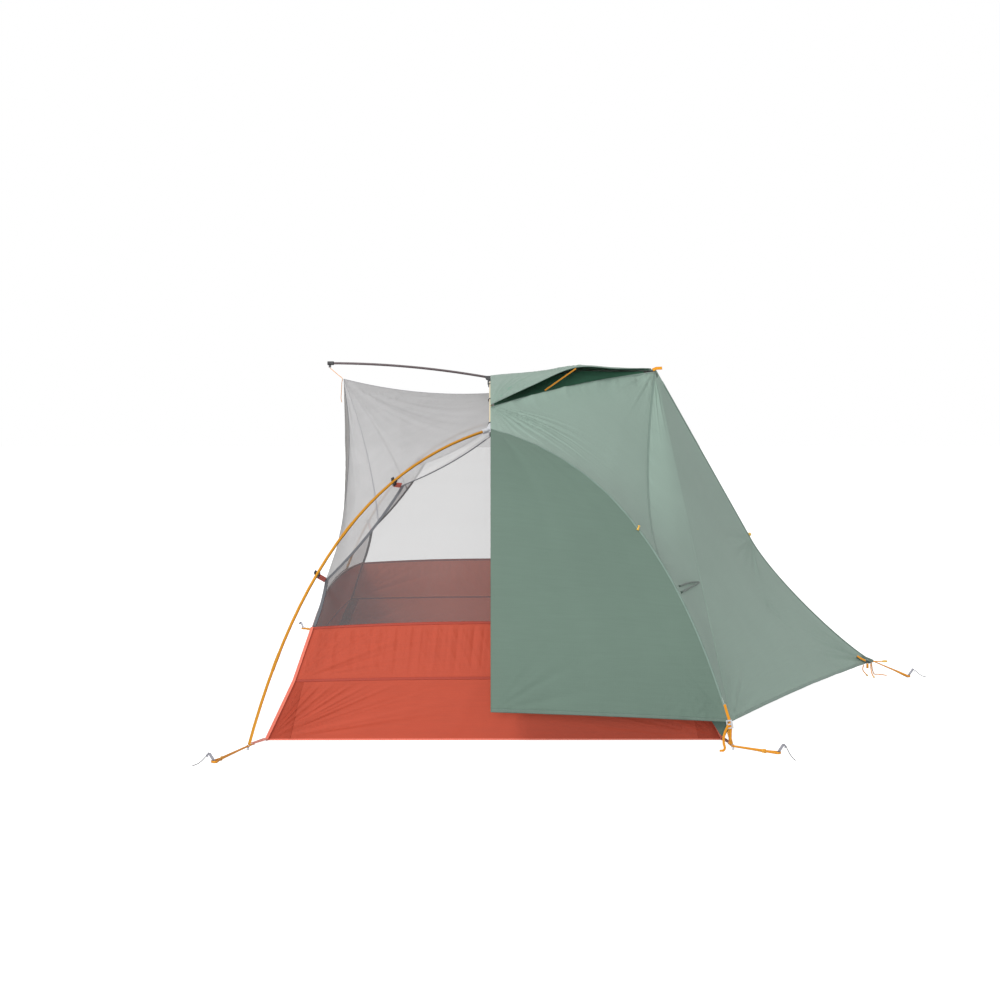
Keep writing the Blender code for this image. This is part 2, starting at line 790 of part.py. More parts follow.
def leg_clip(name, height, reach, clearance, sx, sy):
    seat, along, pull, toward = clip_frame(height, reach)
    # The hook's section lies in its local XY, and its Z is along the pole
    local = Matrix((toward, along.cross(toward), along)).transposed().to_4x4()
    local.translation = seat
    flip = Matrix.Diagonal((sx, sy, 1.0, 1.0))
    mesh = plate(name, clip_outline(), [], CLIP_WIDTH)
    mesh.transform(flip @ local)
    if sx * sy < 0:
        mesh.flip_normals()
    made = adopt(bpy.data.objects.new(name, mesh), BLACK)
    neck_end = POLE_RADIUS + CLIP_WALL + CLIP_NECK - TAB_SEAT
    start = seat + toward * neck_end
    stop = pull - (pull - start).normalized() * clearance

    def webbing(bm):
        # A strip from the neck to the canopy's edge
        length = (stop - start).length
        strip = frame_matrix((start + stop) / 2, stop - start, along.cross(toward))
        block(bm, (length, TAB_WIDTH, TAB_THICKNESS), flip @ strip)
        if sx * sy < 0:
            bmesh.ops.reverse_faces(bm, faces=bm.faces)
    combine(made, [cutter(f"{name}_tab", webbing)], "UNION")
    return made


for label, sx, sy in QUARTERS:
    leg_clip(f"clip_lower_{label}", CLIP_LOWER_HEIGHT, CLIP_LOWER_REACH, TAB_CLEARANCE_LOWER, sx, sy)
    leg_clip(f"clip_upper_{label}", CLIP_UPPER_HEIGHT, CLIP_UPPER_REACH, TAB_CLEARANCE_UPPER, sx, sy)

# Tub

floor_corner = Vector((FLOOR_WIDTH / 2, -FLOOR_LENGTH / 2, 0.0))
seam_corner = Vector((TUB_SEAM_WIDTH / 2, -TUB_SEAM_LENGTH / 2, TUB_SEAM_HEIGHT))
top_corner = Vector((TUB_TOP_WIDTH / 2, -TUB_TOP_LENGTH / 2, TUB_TOP_HEIGHT))


def tub_corner(sx, sy):
    """The tub's corner seam from the floor to the top edge, as it bends at the middle seam."""
    a, b, c = (quarter(p, sx, sy) for p in (floor_corner, seam_corner, top_corner))
    return chain((arc(a, b), 0.5), (arc(b, c), 1.0))


def side_top(y):
    """The tub's right side top edge, drawn up and out by the canopy at mid-length."""
    lift = 1 - (y / (TUB_TOP_LENGTH / 2)) ** 2
    return Vector((TUB_TOP_WIDTH / 2 + TUB_SIDE_BULGE * lift, y, TUB_TOP_HEIGHT + TUB_SIDE_RISE * lift))


def side_top_edge(sx):
    """The same edge from front to rear, in three stretches that the door's feet divide."""
    half = TUB_TOP_LENGTH / 2

    def stretch(y0, y1):
        return lambda t: quarter(side_top(lerp(y0, y1, t)), sx, 1)
    return chain(
        (stretch(-half, -DOOR_FOOT_Y), 0.25), (stretch(-DOOR_FOOT_Y, DOOR_FOOT_Y), 0.75),
        (stretch(DOOR_FOOT_Y, half), 1.0),
    )


def floor_sheet(bm):
    edge = 2 * (SEAM + FABRIC)
    block(bm, (FLOOR_WIDTH - edge, FLOOR_LENGTH - edge, FLOOR_THICKNESS),
          Matrix.Translation((0, 0, FLOOR_THICKNESS / 2)))


solid("tub_floor", RUST, floor_sheet)

for label, sy in (("front", 1), ("rear", -1)):
    wall = coons(
        arc(quarter(floor_corner, -1, sy), quarter(floor_corner, 1, sy)),
        arc(quarter(top_corner, -1, sy), quarter(top_corner, 1, sy), (0, 0, TUB_END_RISE)),
        tub_corner(-1, sy), tub_corner(1, sy),
    )
    fabric(f"tub_wall_{label}", [(wall, 8, 6, "LRBT")], RUST)

for label, sx in (("left", -1), ("right", 1)):
    wall = coons(
        arc(quarter(floor_corner, sx, 1), quarter(floor_corner, sx, -1)), side_top_edge(sx),
        tub_corner(sx, 1), tub_corner(sx, -1),
    )
    fabric(f"tub_wall_{label}", [(wall, 16, 6, "LRBT")], RUST)

# Canopy

lower_pull = clip_frame(CLIP_LOWER_HEIGHT, CLIP_LOWER_REACH)[2]
upper_pull = clip_frame(CLIP_UPPER_HEIGHT, CLIP_UPPER_REACH)[2]
apex = Vector((APEX_WIDTH / 2, -HUB_Y - APEX_FORWARD, HUB_HEIGHT - APEX_DROP))
ridge_middle = Vector((0.0, 0.0, RIDGE_HEIGHT - CANOPY_DROP))
inward = Vector((-0.6, 0.3, -0.7)).normalized()
# The end panel's edge, from the tub to the apex, is drawn out at its two clips
trim = chain(
    (arc(top_corner, lower_pull, inward * TRIM_SAG * 0.4), 2 / 12),
    (arc(lower_pull, upper_pull, inward * TRIM_SAG), 8 / 12),
    (arc(upper_pull, apex, inward * TRIM_SAG), 1.0),
)
SIDE_SEAM_AT = 0.5
DOOR_STEPS = 9
DOOR_HEAD = 0.950


def canopy_corner(sx):
    return tip(sx) + Vector((-sx * CORNER_INSET, 0.0, -CORNER_DROP if sx < 0 else -CORNER_DROP_RIGHT))


def ridge_edge(sy):
    """Under the ridge pole, from the apex to the middle."""
    start = Vector((0.0, apex.y * sy, apex.z))
    return arc(start, ridge_middle, (0, 0, CANOPY_RIDGE_BOW))


def top_edge(sx):
    """From the top corner down to the middle of the ridge."""
    return arc(canopy_corner(sx), ridge_middle, (0, 0, -CANOPY_TOP_SAG))


def side_seam(sx, sy):
    """From the end panel's edge up to the top corner."""
    return arc(quarter(trim(SIDE_SEAM_AT), sx, sy), canopy_corner(sx), (-sx * SIDE_SEAM_BOW, 0, 0))


def door_front(sx):
    """The door's zip: an arc from the tub's edge to the top corner."""
    foot = quarter(side_top(-DOOR_FOOT_Y), sx, 1)
    head = canopy_corner(sx)
    first, second = (Vector(p) for p in DOOR_ARC)
    knee = foot + Vector((first.x * sx, -first.y, first.z))
    shoulder = foot + Vector((second.x * sx, -second.y, second.z - (DOOR_DROP_RIGHT if sx > 0 else 0.0)))
    return chords(smooth([foot, knee, shoulder, head]), DOOR_STEPS)


def door_rear(sx):
    """The door's straight rear seam, on which it swings."""
    return arc(quarter(side_top(DOOR_FOOT_Y), sx, 1), canopy_corner(sx))


for label, sx, sy in QUARTERS:
    end_trim = mirrored(trim, sx, sy)
    seam = side_seam(sx, sy)
    door_edge = door_front(sx) if sy > 0 else door_rear(sx)
    half = TUB_TOP_LENGTH / 2
    foot_run = (lambda t, sx=sx, sy=sy, half=half:
                quarter(side_top(lerp(-half, -DOOR_FOOT_Y, t) * sy), sx, 1))
    strip = coons(foot_run, seam, part_of(end_trim, 0.0, SIDE_SEAM_AT), door_edge)
    roof = coons(
        part_of(end_trim, SIDE_SEAM_AT, 1.0), top_edge(sx), seam,
        chain((arc(quarter(apex, sx, sy), ridge_edge(sy)(0.0)), 0.02), (ridge_edge(sy), 1.0)),
    )
    fabric(f"canopy_{label}", [(strip, 8, DOOR_STEPS, "LBR"), (roof, 6, 8, "TRB")], MESH)

for label, sy in (("front", 1), ("rear", -1)):
    end = coons(
        arc(quarter(top_corner, -1, sy), quarter(top_corner, 1, sy), (0, 0, TUB_END_RISE)),
        arc(quarter(apex, -1, sy), quarter(apex, 1, sy)),
        mirrored(trim, -1, sy), mirrored(trim, 1, sy),
    )
    fabric(f"canopy_end_{label}", [(end, 8, 12, "LRBT")], MESH)

for label, sx in (("left", -1), ("right", 1)):
    sill = (lambda t, sx=sx: quarter(side_top(lerp(-DOOR_FOOT_Y, DOOR_FOOT_Y, t)), sx, 1))
    front, rear = door_front(sx), door_rear(sx)
    leaf = coons(sill, arc(front(DOOR_HEAD), rear(DOOR_HEAD)),
                 cut_short(front, DOOR_STEPS, DOOR_HEAD), cut_short(rear, DOOR_STEPS, DOOR_HEAD))
    fabric(f"inner_door_{label}", [(leaf, 8, DOOR_STEPS, "LRB")], MESH)

# Fly

leg_low = at_height(leg, FLY_HEM_HEIGHT - FLY_LIFT_LEG * 0.4)
leg_notch = at_height(leg, FLY_NOTCH_HEIGHT - FLY_LIFT_LEG * 0.5)
fly_apex = Vector((0.0, -HUB_Y - FLY_APEX_FORWARD, HUB_HEIGHT + FLY_APEX_RISE))


def fly_arch(t):
    """The arch seam over the right front leg: apex at 0, the notch at a half, the hem corner at 1."""
    if t < 0.5:
        at = lerp(1.0, leg_notch, t * 2)
    else:
        at = lerp(leg_notch, leg_low, t * 2 - 1)
    along = leg_direction(at)
    outward = along.cross(leg_forward)
    if outward.z < 0:
        outward = -outward
    lift = lerp(FLY_LIFT_APEX, FLY_LIFT_LEG, min(t * 3.0, 1.0))
    point = leg(at) + outward * lift + leg_forward * FLY_FORWARD
    if t < 0.5:
        start = leg(1.0) + leg_direction(1.0).cross(leg_forward) * (
            FLY_LIFT_APEX if leg_direction(1.0).cross(leg_forward).z > 0 else -FLY_LIFT_APEX
        ) + leg_forward * FLY_FORWARD
        point += (fly_apex - start) * (1 - 2 * t) ** 3
    return point


fly_corner = fly_arch(1.0)
fly_notch = fly_arch(0.5)
spreader_over = spreader_height(0.0) + FLY_OVER
fly_tip = Vector((SPREADER_SPAN + FLY_TIP_BEYOND, 0.0, tip(1).z + FLY_OVER_TIP - FLY_TIP_DROP))
vent_corner = Vector((0.0, -VENT_CORNER_Y, ridge(VENT_CORNER_Y) + VENT_CORNER_RISE))
vestibule_end = Vector((VESTIBULE_REACH, 0.0, VESTIBULE_HEM_HEIGHT))
LEAF_STEPS = 12
LEAF_HEAD = 0.985


def ground_ridge():
    """The vestibule's ridge, from its low end up to the spreader's tip: an eased foot, then straight."""
    knee = Vector((VESTIBULE_KNEE[0], 0.0, VESTIBULE_KNEE[1]))
    aim = (fly_tip - knee).normalized()
    low_aim = Vector((-0.867, 0.0, 0.498))
    sweep = bezier(vestibule_end, vestibule_end + low_aim * VESTIBULE_END_HANDLE,
                   knee - aim * VESTIBULE_KNEE_HANDLE, knee)
    return chain((sweep, 0.5), (arc(knee, fly_tip), 1.0))


def over_spreader(t):
    """The fly's line over the spreader, from the middle to the tip."""
    x = lerp(0.0, SPREADER_SPAN + TIP_CAP_LENGTH * 0.3, t)
    return Vector((x, 0.0, spreader_height(x) + lerp(FLY_OVER, FLY_OVER_TIP, t)))


def ridge_profile(top, rear=False):
    """The fly's line over the ridge pole, from the arch's apex up to a point."""
    shoulder = Vector((0.0, -HUB_Y + FLY_SHOULDER_BACK, HUB_HEIGHT + HUB_BODY_HEIGHT / 2 + FLY_OVER_HUB))
    if not rear:
        return smooth([fly_apex, shoulder, top])
    middle = Vector((0.0, -HUB_Y * 0.5, ridge(HUB_Y * 0.5) + POLE_RADIUS + FLY_OVER_RIDGE))
    upper = Vector((0.0, -HUB_Y * 0.72, ridge(HUB_Y * 0.72) + POLE_RADIUS + FLY_OVER_RIDGE_END))
    return chain((smooth([fly_apex, shoulder, upper]), 0.4), (smooth([upper, middle, top]), 1.0))


tip_front = fly_tip + Vector(FLY_TIP_FRONT)
seam_top = tip_front + Vector(FLY_SEAM_TOP)


def tip_seam(sy):
    """The hanging seam from the spreader's tip to the notch of the arch."""
    top = fly_tip if sy < 0 else seam_top
    return arc(quarter(fly_notch, 1, sy), top, FLY_SEAM_SAG)


hinge_top = fly_tip + Vector(HINGE_TOP)
hinge_low = fly_corner + Vector(HINGE_LOW)

hem_front = arc(Vector((0.0, -FLY_HEM_Y, FLY_HEM_CENTRE)), fly_corner, (0, 0, FLY_HEM_BOW))


def end_middle(t):
    """The end panel's line in the middle plane: the arch's own profile, a little hollow."""
    edge = fly_arch(1.0 - t)
    low, high = hem_front(0.0), fly_apex
    y = lerp(low.y - fly_corner.y, 0.0, t) + edge.y + FLY_END_HOLLOW * 4 * t * (1 - t)
    z = lerp(low.z - fly_corner.z, 0.0, t) + edge.z
    return Vector((0.0, min(y, high.y), z))


end_head = 0.985
end_front = coons(
    hem_front, arc(end_middle(end_head), fly_arch(1.0 - end_head)),
    cut_short(end_middle, 12, end_head), cut_short(reversed_curve(fly_arch), 12, end_head),
)
for label, sy in (("front", 1), ("rear", -1)):
    fabric(f"fly_end_{label}", [(
        lambda u, v, sy=sy: quarter(end_front(u, v), 1, sy), 8, 12, "LRT",
    )], DEEP_GREEN)

vent_lip = arc(vent_corner, tip_front, (0, 0, VENT_LIP_BOW))
side_front = coons(part_of(fly_arch, 0.0, 0.5), vent_lip, ridge_profile(vent_corner), tip_seam(1))
gusset = coons(
    part_of(fly_arch, 0.5, 1.0), arc(seam_top, hinge_top), tip_seam(1), arc(hinge_low, hinge_top),
)
fabric("fly_side_front", [(side_front, 8, 10, "LB"), (gusset, 5, 10, "BR")], GREEN)

over = chords(chain((over_spreader, 0.97), (arc(over_spreader(1.0), fly_tip), 1.0)), 8)
side_rear = coons(
    mirrored(part_of(fly_arch, 0.0, 0.5), 1, -1), over,
    mirrored(ridge_profile(Vector((0.0, 0.0, spreader_over)), True), 1, -1), tip_seam(-1),
)
fabric("fly_side_rear", [(side_rear, 8, 10, "LBTR")], GREEN)

ground_line = chords(ground_ridge(), LEAF_STEPS)
hem_side = arc(fly_corner, vestibule_end, (0, 0, VESTIBULE_HEM_RISE))
rear_panel = coons(
    mirrored(hem_side, 1, -1), tip_seam(-1), mirrored(reversed_curve(part_of(fly_arch, 0.5, 1.0)), 1, -1),
    ground_line,
)
fabric("vestibule_rear", [(rear_panel, 10, LEAF_STEPS, "LRT")], GREEN)

leaf_side = Vector((0.0, -DOOR_LEAF_GAP, 0.0))
leaf_hem = arc(hinge_low + Vector((LEAF_HEM_INSET, 0.0, 0.0)), vestibule_end + leaf_side, (0, 0, VESTIBULE_HEM_RISE))
hinge_line = arc(hinge_low, hinge_top)
door_leaf = coons(
    leaf_hem, arc(hinge_line(LEAF_HEAD), ground_line(LEAF_HEAD) + leaf_side),
    cut_short(hinge_line, LEAF_STEPS, LEAF_HEAD),
    cut_short(lambda t: ground_line(t) + leaf_side, LEAF_STEPS, LEAF_HEAD),
)
fabric("vestibule_door", [(door_leaf, 10, LEAF_STEPS, "LR")], GREEN)

hood_corner = vent_corner + Vector((0.0, -HOOD_FORWARD, HOOD_LIFT))
hood_tip = fly_tip + Vector(HOOD_TIP)
brow = smooth([hood_corner, HOOD_SHOULDERS[0], HOOD_BROW, HOOD_SHOULDERS[1], hood_tip])
hood = coons(
    brow, part_of(over, 0.0, HOOD_END), arc(hood_corner, over(0.0), (0, 0, HOOD_RIDGE_BOW)),
    arc(hood_tip, over(HOOD_END)),
)
fabric("vent_hood", [(hood, 12, 6, "LT")], GREEN)

strut_reach = STRUT_RADIUS + FABRIC / 2 + RUNNING_GAP
strut_foot = vent_lip(STRUT_FOOT_SHARE) + Vector((0.0, 0.0, strut_reach))
strut_head = Vector(HOOD_BROW) + Vector((*STRUT_HEAD_INSET, -strut_reach))
tube("vent_strut", [strut_foot, lerp(strut_foot, strut_head, 0.5), strut_head], STRUT_RADIUS, ORANGE,
     resolution=3)

# Zip slider, on the rear side of the vestibule's ridge


def seat_on(surface, u, v, outward):
    """A point on a panel with its normal and the direction that v runs in."""
    here = surface(u, v)
    along = (surface(u, v + 0.01) - surface(u, v - 0.01)).normalized()
    normal = along.cross(surface(u + 0.01, v) - surface(u - 0.01, v)).normalized()
    if normal.dot(Vector(outward)) < 0:
        normal = -normal
    return here, along, normal


slider_at, slider_up, slider_out = seat_on(rear_panel, SLIDER_ACROSS, SLIDER_ALONG, (1.0, 0.6, 0.6))
slider_seat = slider_at + slider_out * (FABRIC / 2 + SLIDER_CLEARANCE)


def slider_body(bm):
    seat = frame_matrix(slider_seat + slider_out * SLIDER_HEIGHT / 2, slider_up, slider_out)
    block(bm, (SLIDER_LENGTH, SLIDER_WIDTH, SLIDER_HEIGHT), seat)


def slider_pull(bm):
    middle = slider_seat + slider_out * (SLIDER_HEIGHT + PULL_RADIUS * 0.72)
    bmesh.ops.create_uvsphere(bm, u_segments=14, v_segments=8, radius=PULL_RADIUS,
                              matrix=Matrix.Translation(middle))


zip_slider = soften(solid("zip_slider", ORANGE, slider_body), 0.001, 1)
combine(zip_slider, [cutter("slider_pull", slider_pull)], "UNION")

# Stakes

def stake_axis(x, y):
    """The stake leans away from the tent."""
    away = Vector((x, y * 0.55, 0.0)).normalized()
    return (away * math.sin(STAKE_LEAN) + Vector((0, 0, math.cos(STAKE_LEAN)))).normalized()


stake_half = STAKE_SECTION / 2
stake_depth = STAKE_SECTION * 0.55 + STAKE_WALL * 1.3
stake_reach = math.hypot(stake_half, stake_depth / 2 / math.cos(STAKE_LEAN))


def stake(name, x, y):
    """An angle-section stake with a folded head and a tapered point."""
    up = stake_axis(x, y)
    back, ridge_line, wall = -stake_depth / 2, stake_depth / 2 - STAKE_WALL * 1.3, STAKE_WALL * 1.3
    outline = [(-stake_half, back), (0.0, ridge_line), (stake_half, back),
               (stake_half, back + wall), (0.0, ridge_line + wall), (-stake_half, back + wall)]
    away = Vector((up.x, up.y, 0.0)).normalized()
    side = up.cross(away).normalized()
    front = side.cross(up).normalized()
    local = Matrix((side, front, up)).transposed().to_4x4()
    local.translation = Vector((x, y, 0.0))
    levels = ((STAKE_ABOVE - STAKE_LENGTH, 0.16), (STAKE_ABOVE - STAKE_LENGTH + STAKE_POINT, 1.0),
              (STAKE_ABOVE, 1.0))

    def shape(bm):
        rings = [
            [bm.verts.new((px * share, py * share, level)) for px, py in outline] for level, share in levels
        ]
        count = len(outline)
        for a, b in zip(rings, rings[1:]):
            for k in range(count):
                m = (k + 1) % count
                bm.faces.new((a[k], a[m], b[m], b[k]))
        bm.faces.new(rings[0][::-1])
        bm.faces.new(rings[-1])
        bmesh.ops.recalc_face_normals(bm, faces=bm.faces)
        bmesh.ops.transform(bm, matrix=local, verts=bm.verts)

    made = solid(name, SILVER, shape)

    start = -stake_depth * 0.2

    def fold(bm):
        at = local @ Matrix.Translation((0.0, start + STAKE_HOOK / 2, STAKE_ABOVE - STAKE_WALL * 0.8))
        block(bm, (STAKE_SECTION * 0.94, STAKE_HOOK, STAKE_WALL), at)

    def lip(bm):
        at = local @ Matrix.Translation((0.0, start + STAKE_HOOK - STAKE_WALL * 0.55, STAKE_ABOVE - STAKE_WALL * 2.3))
        block(bm, (STAKE_SECTION * 0.86, STAKE_WALL, STAKE_WALL * 3.4), at)
    combine(made, [cutter(f"{name}_fold", fold), cutter(f"{name}_lip", lip)], "UNION")
    return made


stake_places = {
    "stake_front_left": (-STAKE_X, -STAKE_Y), "stake_front_right": (STAKE_X_RIGHT, -STAKE_Y_RIGHT),
    "stake_rear_left": (-STAKE_X_REAR_LEFT, STAKE_Y), "stake_rear_right": (STAKE_X_RIGHT, STAKE_Y_RIGHT),
    "stake_vestibule": VESTIBULE_STAKE,
}
for stake_name, (x, y) in stake_places.items():
    stake(stake_name, x, y)


# Straps along the ground

def strap(name, route, widths, holes):
    """A flat strap that follows route. widths are (distance, half width), holes are (distance, radius)."""
    lengths, aims = [0.0], []
    for k in range(len(route) - 1):
        lengths.append(lengths[-1] + (route[k + 1] - route[k]).length)
        aims.append((route[k + 1] - route[k]).normalized())

    def place(s, w, z):
        k = 0
        while k < len(route) - 2 and s > lengths[k + 1] + 1e-7:
            k += 1
        blend = min((s - lengths[k]) / STRAP_TWIST, 1.0) if k else 1.0
        across = Vector((0, 0, 1)).cross(lerp(aims[max(k - 1, 0)], aims[k], blend)).normalized()
        return route[k] + aims[k] * (s - lengths[k]) + across * w + Vector((0, 0, z))
    outline = [(s, w) for s, w in widths] + [(s, -w) for s, w in reversed(widths)]
    mesh = plate(name, outline, [circle(s, 0.0, r, 16) for s, r in holes], STRAP_THICKNESS)
    bm = bmesh.new()
    bm.from_mesh(mesh)
    for bend in [at + more for at in lengths[1:-1] for more in (0.0, STRAP_TWIST / 2, STRAP_TWIST)]:
        bmesh.ops.bisect_plane(bm, geom=bm.verts[:] + bm.edges[:] + bm.faces[:], dist=0.00001,
                               plane_co=(bend, 0, 0), plane_no=(1, 0, 0))
    for vert in bm.verts:
        vert.co = place(*vert.co)
    bm.to_mesh(mesh)
    bm.free()
    return adopt(bpy.data.objects.new(name, mesh), ORANGE)


def stake_loop(a, b):
    """The widths of a strap's sewn loop, whose hole lies at b along it."""
    rim = stake_reach + STAKE_CLEARANCE + STRAP_LOOP_RIM
    return [
        (a, STRAP_CORD_WIDTH), (lerp(a, b, 0.50), STRAP_CORD_WIDTH), (lerp(a, b, 0.56), STRAP_WIDTH * 0.7),
        (b - rim * 1.15, STRAP_WIDTH * 0.8), (b - rim * 0.6, rim), (b + rim * 0.55, rim),
        (b + rim, rim * 0.5),
    ]


for label, sx, sy in QUARTERS:
    corner = quarter(Vector((FLOOR_WIDTH / 2, -FLOOR_LENGTH / 2, 0.0)), sx, sy)
    foot = quarter(leg(0.0), sx, sy)
    toe_aim = (quarter(leg(1 / 30), sx, sy) - foot).normalized()
    grommet = foot + toe_aim * (GROMMET_HEIGHT / toe_aim.z)
    x, y = stake_places[f"stake_{label}"]
    up = stake_axis(x, y)
    ring = Vector((x, y, 0.0)) + up * (STRAP_END_HEIGHT / up.z)
    start = corner + (grommet - corner).normalized() * CORNER_CLEARANCE
    start.z = FLOOR_THICKNESS + STRAP_THICKNESS
    tab_end = grommet + Vector((grommet.x - start.x, grommet.y - start.y, 0.0)).normalized() * GROMMET_TAB
    flat = Vector((ring.x - tab_end.x, ring.y - tab_end.y, 0.0)).normalized()
    a = (grommet - start).length
    b = a + GROMMET_TAB + (ring - tab_end).length
    strap(f"corner_strap_{label}", [start, grommet, tab_end, ring + flat * STRAP_TAIL], [
        (0.0, STRAP_WIDTH * 1.1), (a * 0.8, STRAP_WIDTH * 0.8), (a, STRAP_WIDTH),
        (a + GROMMET_TAB * 0.8, STRAP_WIDTH * 0.8),
    ] + stake_loop(a + GROMMET_TAB, b),
        [(a, FOOT_PIN_RADIUS + GROMMET_CLEARANCE), (b, stake_reach + STAKE_CLEARANCE)])

up = stake_axis(*VESTIBULE_STAKE)
ring = Vector((*VESTIBULE_STAKE, 0.0)) + up * (STRAP_END_HEIGHT / up.z)
lead = vestibule_end + Vector((ring.x - vestibule_end.x, ring.y - vestibule_end.y, 0.0)).normalized() * (
    CORNER_CLEARANCE)
b = (ring - lead).length
strap("vestibule_strap", [lead, ring, ring + Vector((STRAP_TAIL, 0.0, 0.0))], stake_loop(0.0, b),
      [(b, stake_reach + STAKE_CLEARANCE)])


# Fly corner straps with their ladder-lock buckles

def ribbon(name, curve, steps, across, width, thickness, material):
    """A band along a curve, with its width along across."""
    side = Vector(across).normalized()
    return fabric(name, [(
        lambda u, v: curve(u) + side * (v - 0.5) * width, steps, 1, "",
    )], material, thickness)


def fly_strap(label, sy):
    """A strap from the fly's corner down to the grommet, threaded through its ladder-lock."""
    foot = leg(0.0)
    toe_aim = (leg(1 / 30) - foot).normalized()
    low = foot + toe_aim * ((GROMMET_HEIGHT + FLY_STRAP_ABOVE_GROMMET) / toe_aim.z) + (
        leg_forward * FLY_STRAP_FOOT_FORWARD)
    top_t = 0.90
    outward = (leg_forward + leg_plan) * FLY_STRAP_STANDOFF
    high = fly_arch(top_t) + outward
    lock = fly_arch(1.0) + outward * 1.3 + Vector((0.0, 0.0, -BUCKLE_DROP))
    line = [high, lerp(high, lock, 0.5), lock, lerp(lock, low, 0.5), low]
    line = [quarter(p, 1, sy) for p in line]
    aim = (line[3] - line[1]).normalized()
    across = quarter(Vector((leg_plan.x, leg_plan.y, 0.0)), 1, sy)
    face = aim.cross(across).normalized()
    if face.y * sy > 0:
        face = -face
    across = face.cross(aim).normalized()
    ribbon(f"fly_strap_{label}", smooth(line), 16, across, FLY_STRAP_WIDTH, STRAP_THICKNESS, ORANGE)
    return line[2], aim, across, face


def buckle(name, seat, aim, across, face):
    """A ladder-lock: a frame with two windows, in front of the strap."""
    centre = seat + face * (STRAP_THICKNESS / 2 + RUNNING_GAP + BUCKLE_THICKNESS / 2)
    local = frame_matrix(centre, aim, face)

    def frame(bm):
        block(bm, (BUCKLE_LENGTH, BUCKLE_WIDTH, BUCKLE_THICKNESS), local)

    def window(bm, side=1):
        length = (BUCKLE_LENGTH - 3 * BUCKLE_WALL) / 2
        at = local @ Matrix.Translation((side * (length + BUCKLE_WALL) / 2, 0, 0))
        block(bm, (length, BUCKLE_WIDTH - 2 * BUCKLE_WALL, BUCKLE_THICKNESS * 2), at)
    made = soften(solid(name, PALE_HUB, frame), 0.0008, 1)
    combine(made, [
        cutter(f"{name}_window_low", lambda bm: window(bm, 1)),
        cutter(f"{name}_window_high", lambda bm: window(bm, -1)),
    ], "DIFFERENCE")
    return made


buckle("buckle_front", *fly_strap("front", 1))
buckle("buckle_rear", *fly_strap("rear", -1))

# Cords

left_tip = tip(-1)
lug_low = left_tip.z - TIP_CAP_RADIUS - TIP_LUG_DROP - TIP_LUG[2] / 2
cap_mouth = Vector((left_tip.x + TIP_CAP_LENGTH * 0.08, 0.0, lug_low - 2 * RUNNING_GAP - CORD_RADIUS * 0.3))
left_corner = canopy_corner(-1)
tip_route = [
    cap_mouth, lerp(cap_mouth, left_corner, 0.33) + Vector((0, 0, -0.001)),
    lerp(cap_mouth, left_corner, 0.66) + Vector((-0.0005, 0, -0.001)),
    left_corner + Vector((-0.0045, 0.0, 0.0015)), left_corner + Vector((-0.0072, 0.0140, -0.0120)),
    left_corner + Vector((-0.0098, 0.0380, -0.0300)), left_corner + Vector((-0.0125, 0.0580, -0.0480)),
    left_corner + Vector((-0.0150, 0.0730, -0.0640)), left_corner + Vector((-0.0130, 0.0830, -0.0790)),
]
tube("tip_cord_left", sampled(smooth(tip_route), 30), CORD_RADIUS, ORANGE, resolution=1)


def pull_cord(name, x, y, drift):
    """A short cord from a stake's head to the ground beyond it."""
    up = stake_axis(x, y)
    away = Vector((up.x, up.y, 0.0)).normalized()
    front = (away - up * away.dot(up)).normalized()
    head = Vector((x, y, 0.0)) + up * (STAKE_ABOVE - STAKE_WALL * 0.8) + front * (
        STAKE_HOOK - stake_depth * 0.2 + PULL_CORD_RADIUS * 0.4 + RUNNING_GAP)
    side = Vector((-away.y, away.x, 0.0)) * drift
    rest = PULL_CORD_RADIUS + 0.0003
    ground = Vector((head.x, head.y, rest))
    route = [
        head, head + away * 0.0035 + Vector((0, 0, -0.0030)), head + away * 0.0085 + Vector((0, 0, -0.0115)),
        head + away * 0.0150 + side * 0.3 + Vector((0, 0, -0.0205)),
        ground + away * 0.0235 + side * 0.6 + Vector((0, 0, 0.0022)), ground + away * 0.0320 + side,
        ground + away * 0.0400 + side * 1.6,
    ]
    tube(name, sampled(smooth(route), 18), PULL_CORD_RADIUS, GREY_CORD, resolution=1)


pull_cord("pull_cord_front_left", -STAKE_X, -STAKE_Y, 0.003)
pull_cord("pull_cord_front_right", STAKE_X_RIGHT, -STAKE_Y_RIGHT, -0.003)
pull_cord("pull_cord_vestibule", *VESTIBULE_STAKE, 0.003)
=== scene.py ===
"""The looks of a pitched lightweight tent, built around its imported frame.

Left is -X, front is -Y, the ground is Z = 0, and everything is in metres. The curves that bound
each panel are the ones that the frame's panels follow.
"""
import math

import bmesh
import bpy
import numpy as np
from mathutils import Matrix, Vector


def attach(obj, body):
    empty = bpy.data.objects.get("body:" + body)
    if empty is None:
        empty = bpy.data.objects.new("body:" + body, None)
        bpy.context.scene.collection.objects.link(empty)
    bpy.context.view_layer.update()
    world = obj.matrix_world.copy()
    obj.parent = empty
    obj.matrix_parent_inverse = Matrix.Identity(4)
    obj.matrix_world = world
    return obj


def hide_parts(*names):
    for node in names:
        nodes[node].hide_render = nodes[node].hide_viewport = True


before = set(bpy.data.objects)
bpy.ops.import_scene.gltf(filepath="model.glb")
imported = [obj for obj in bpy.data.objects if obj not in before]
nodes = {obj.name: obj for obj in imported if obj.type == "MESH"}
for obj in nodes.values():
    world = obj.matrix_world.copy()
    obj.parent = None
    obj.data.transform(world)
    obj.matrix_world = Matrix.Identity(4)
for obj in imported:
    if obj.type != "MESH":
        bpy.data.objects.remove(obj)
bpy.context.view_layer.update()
scene = bpy.context.scene
scene.view_settings.view_transform = "Standard"

# ---- Camera

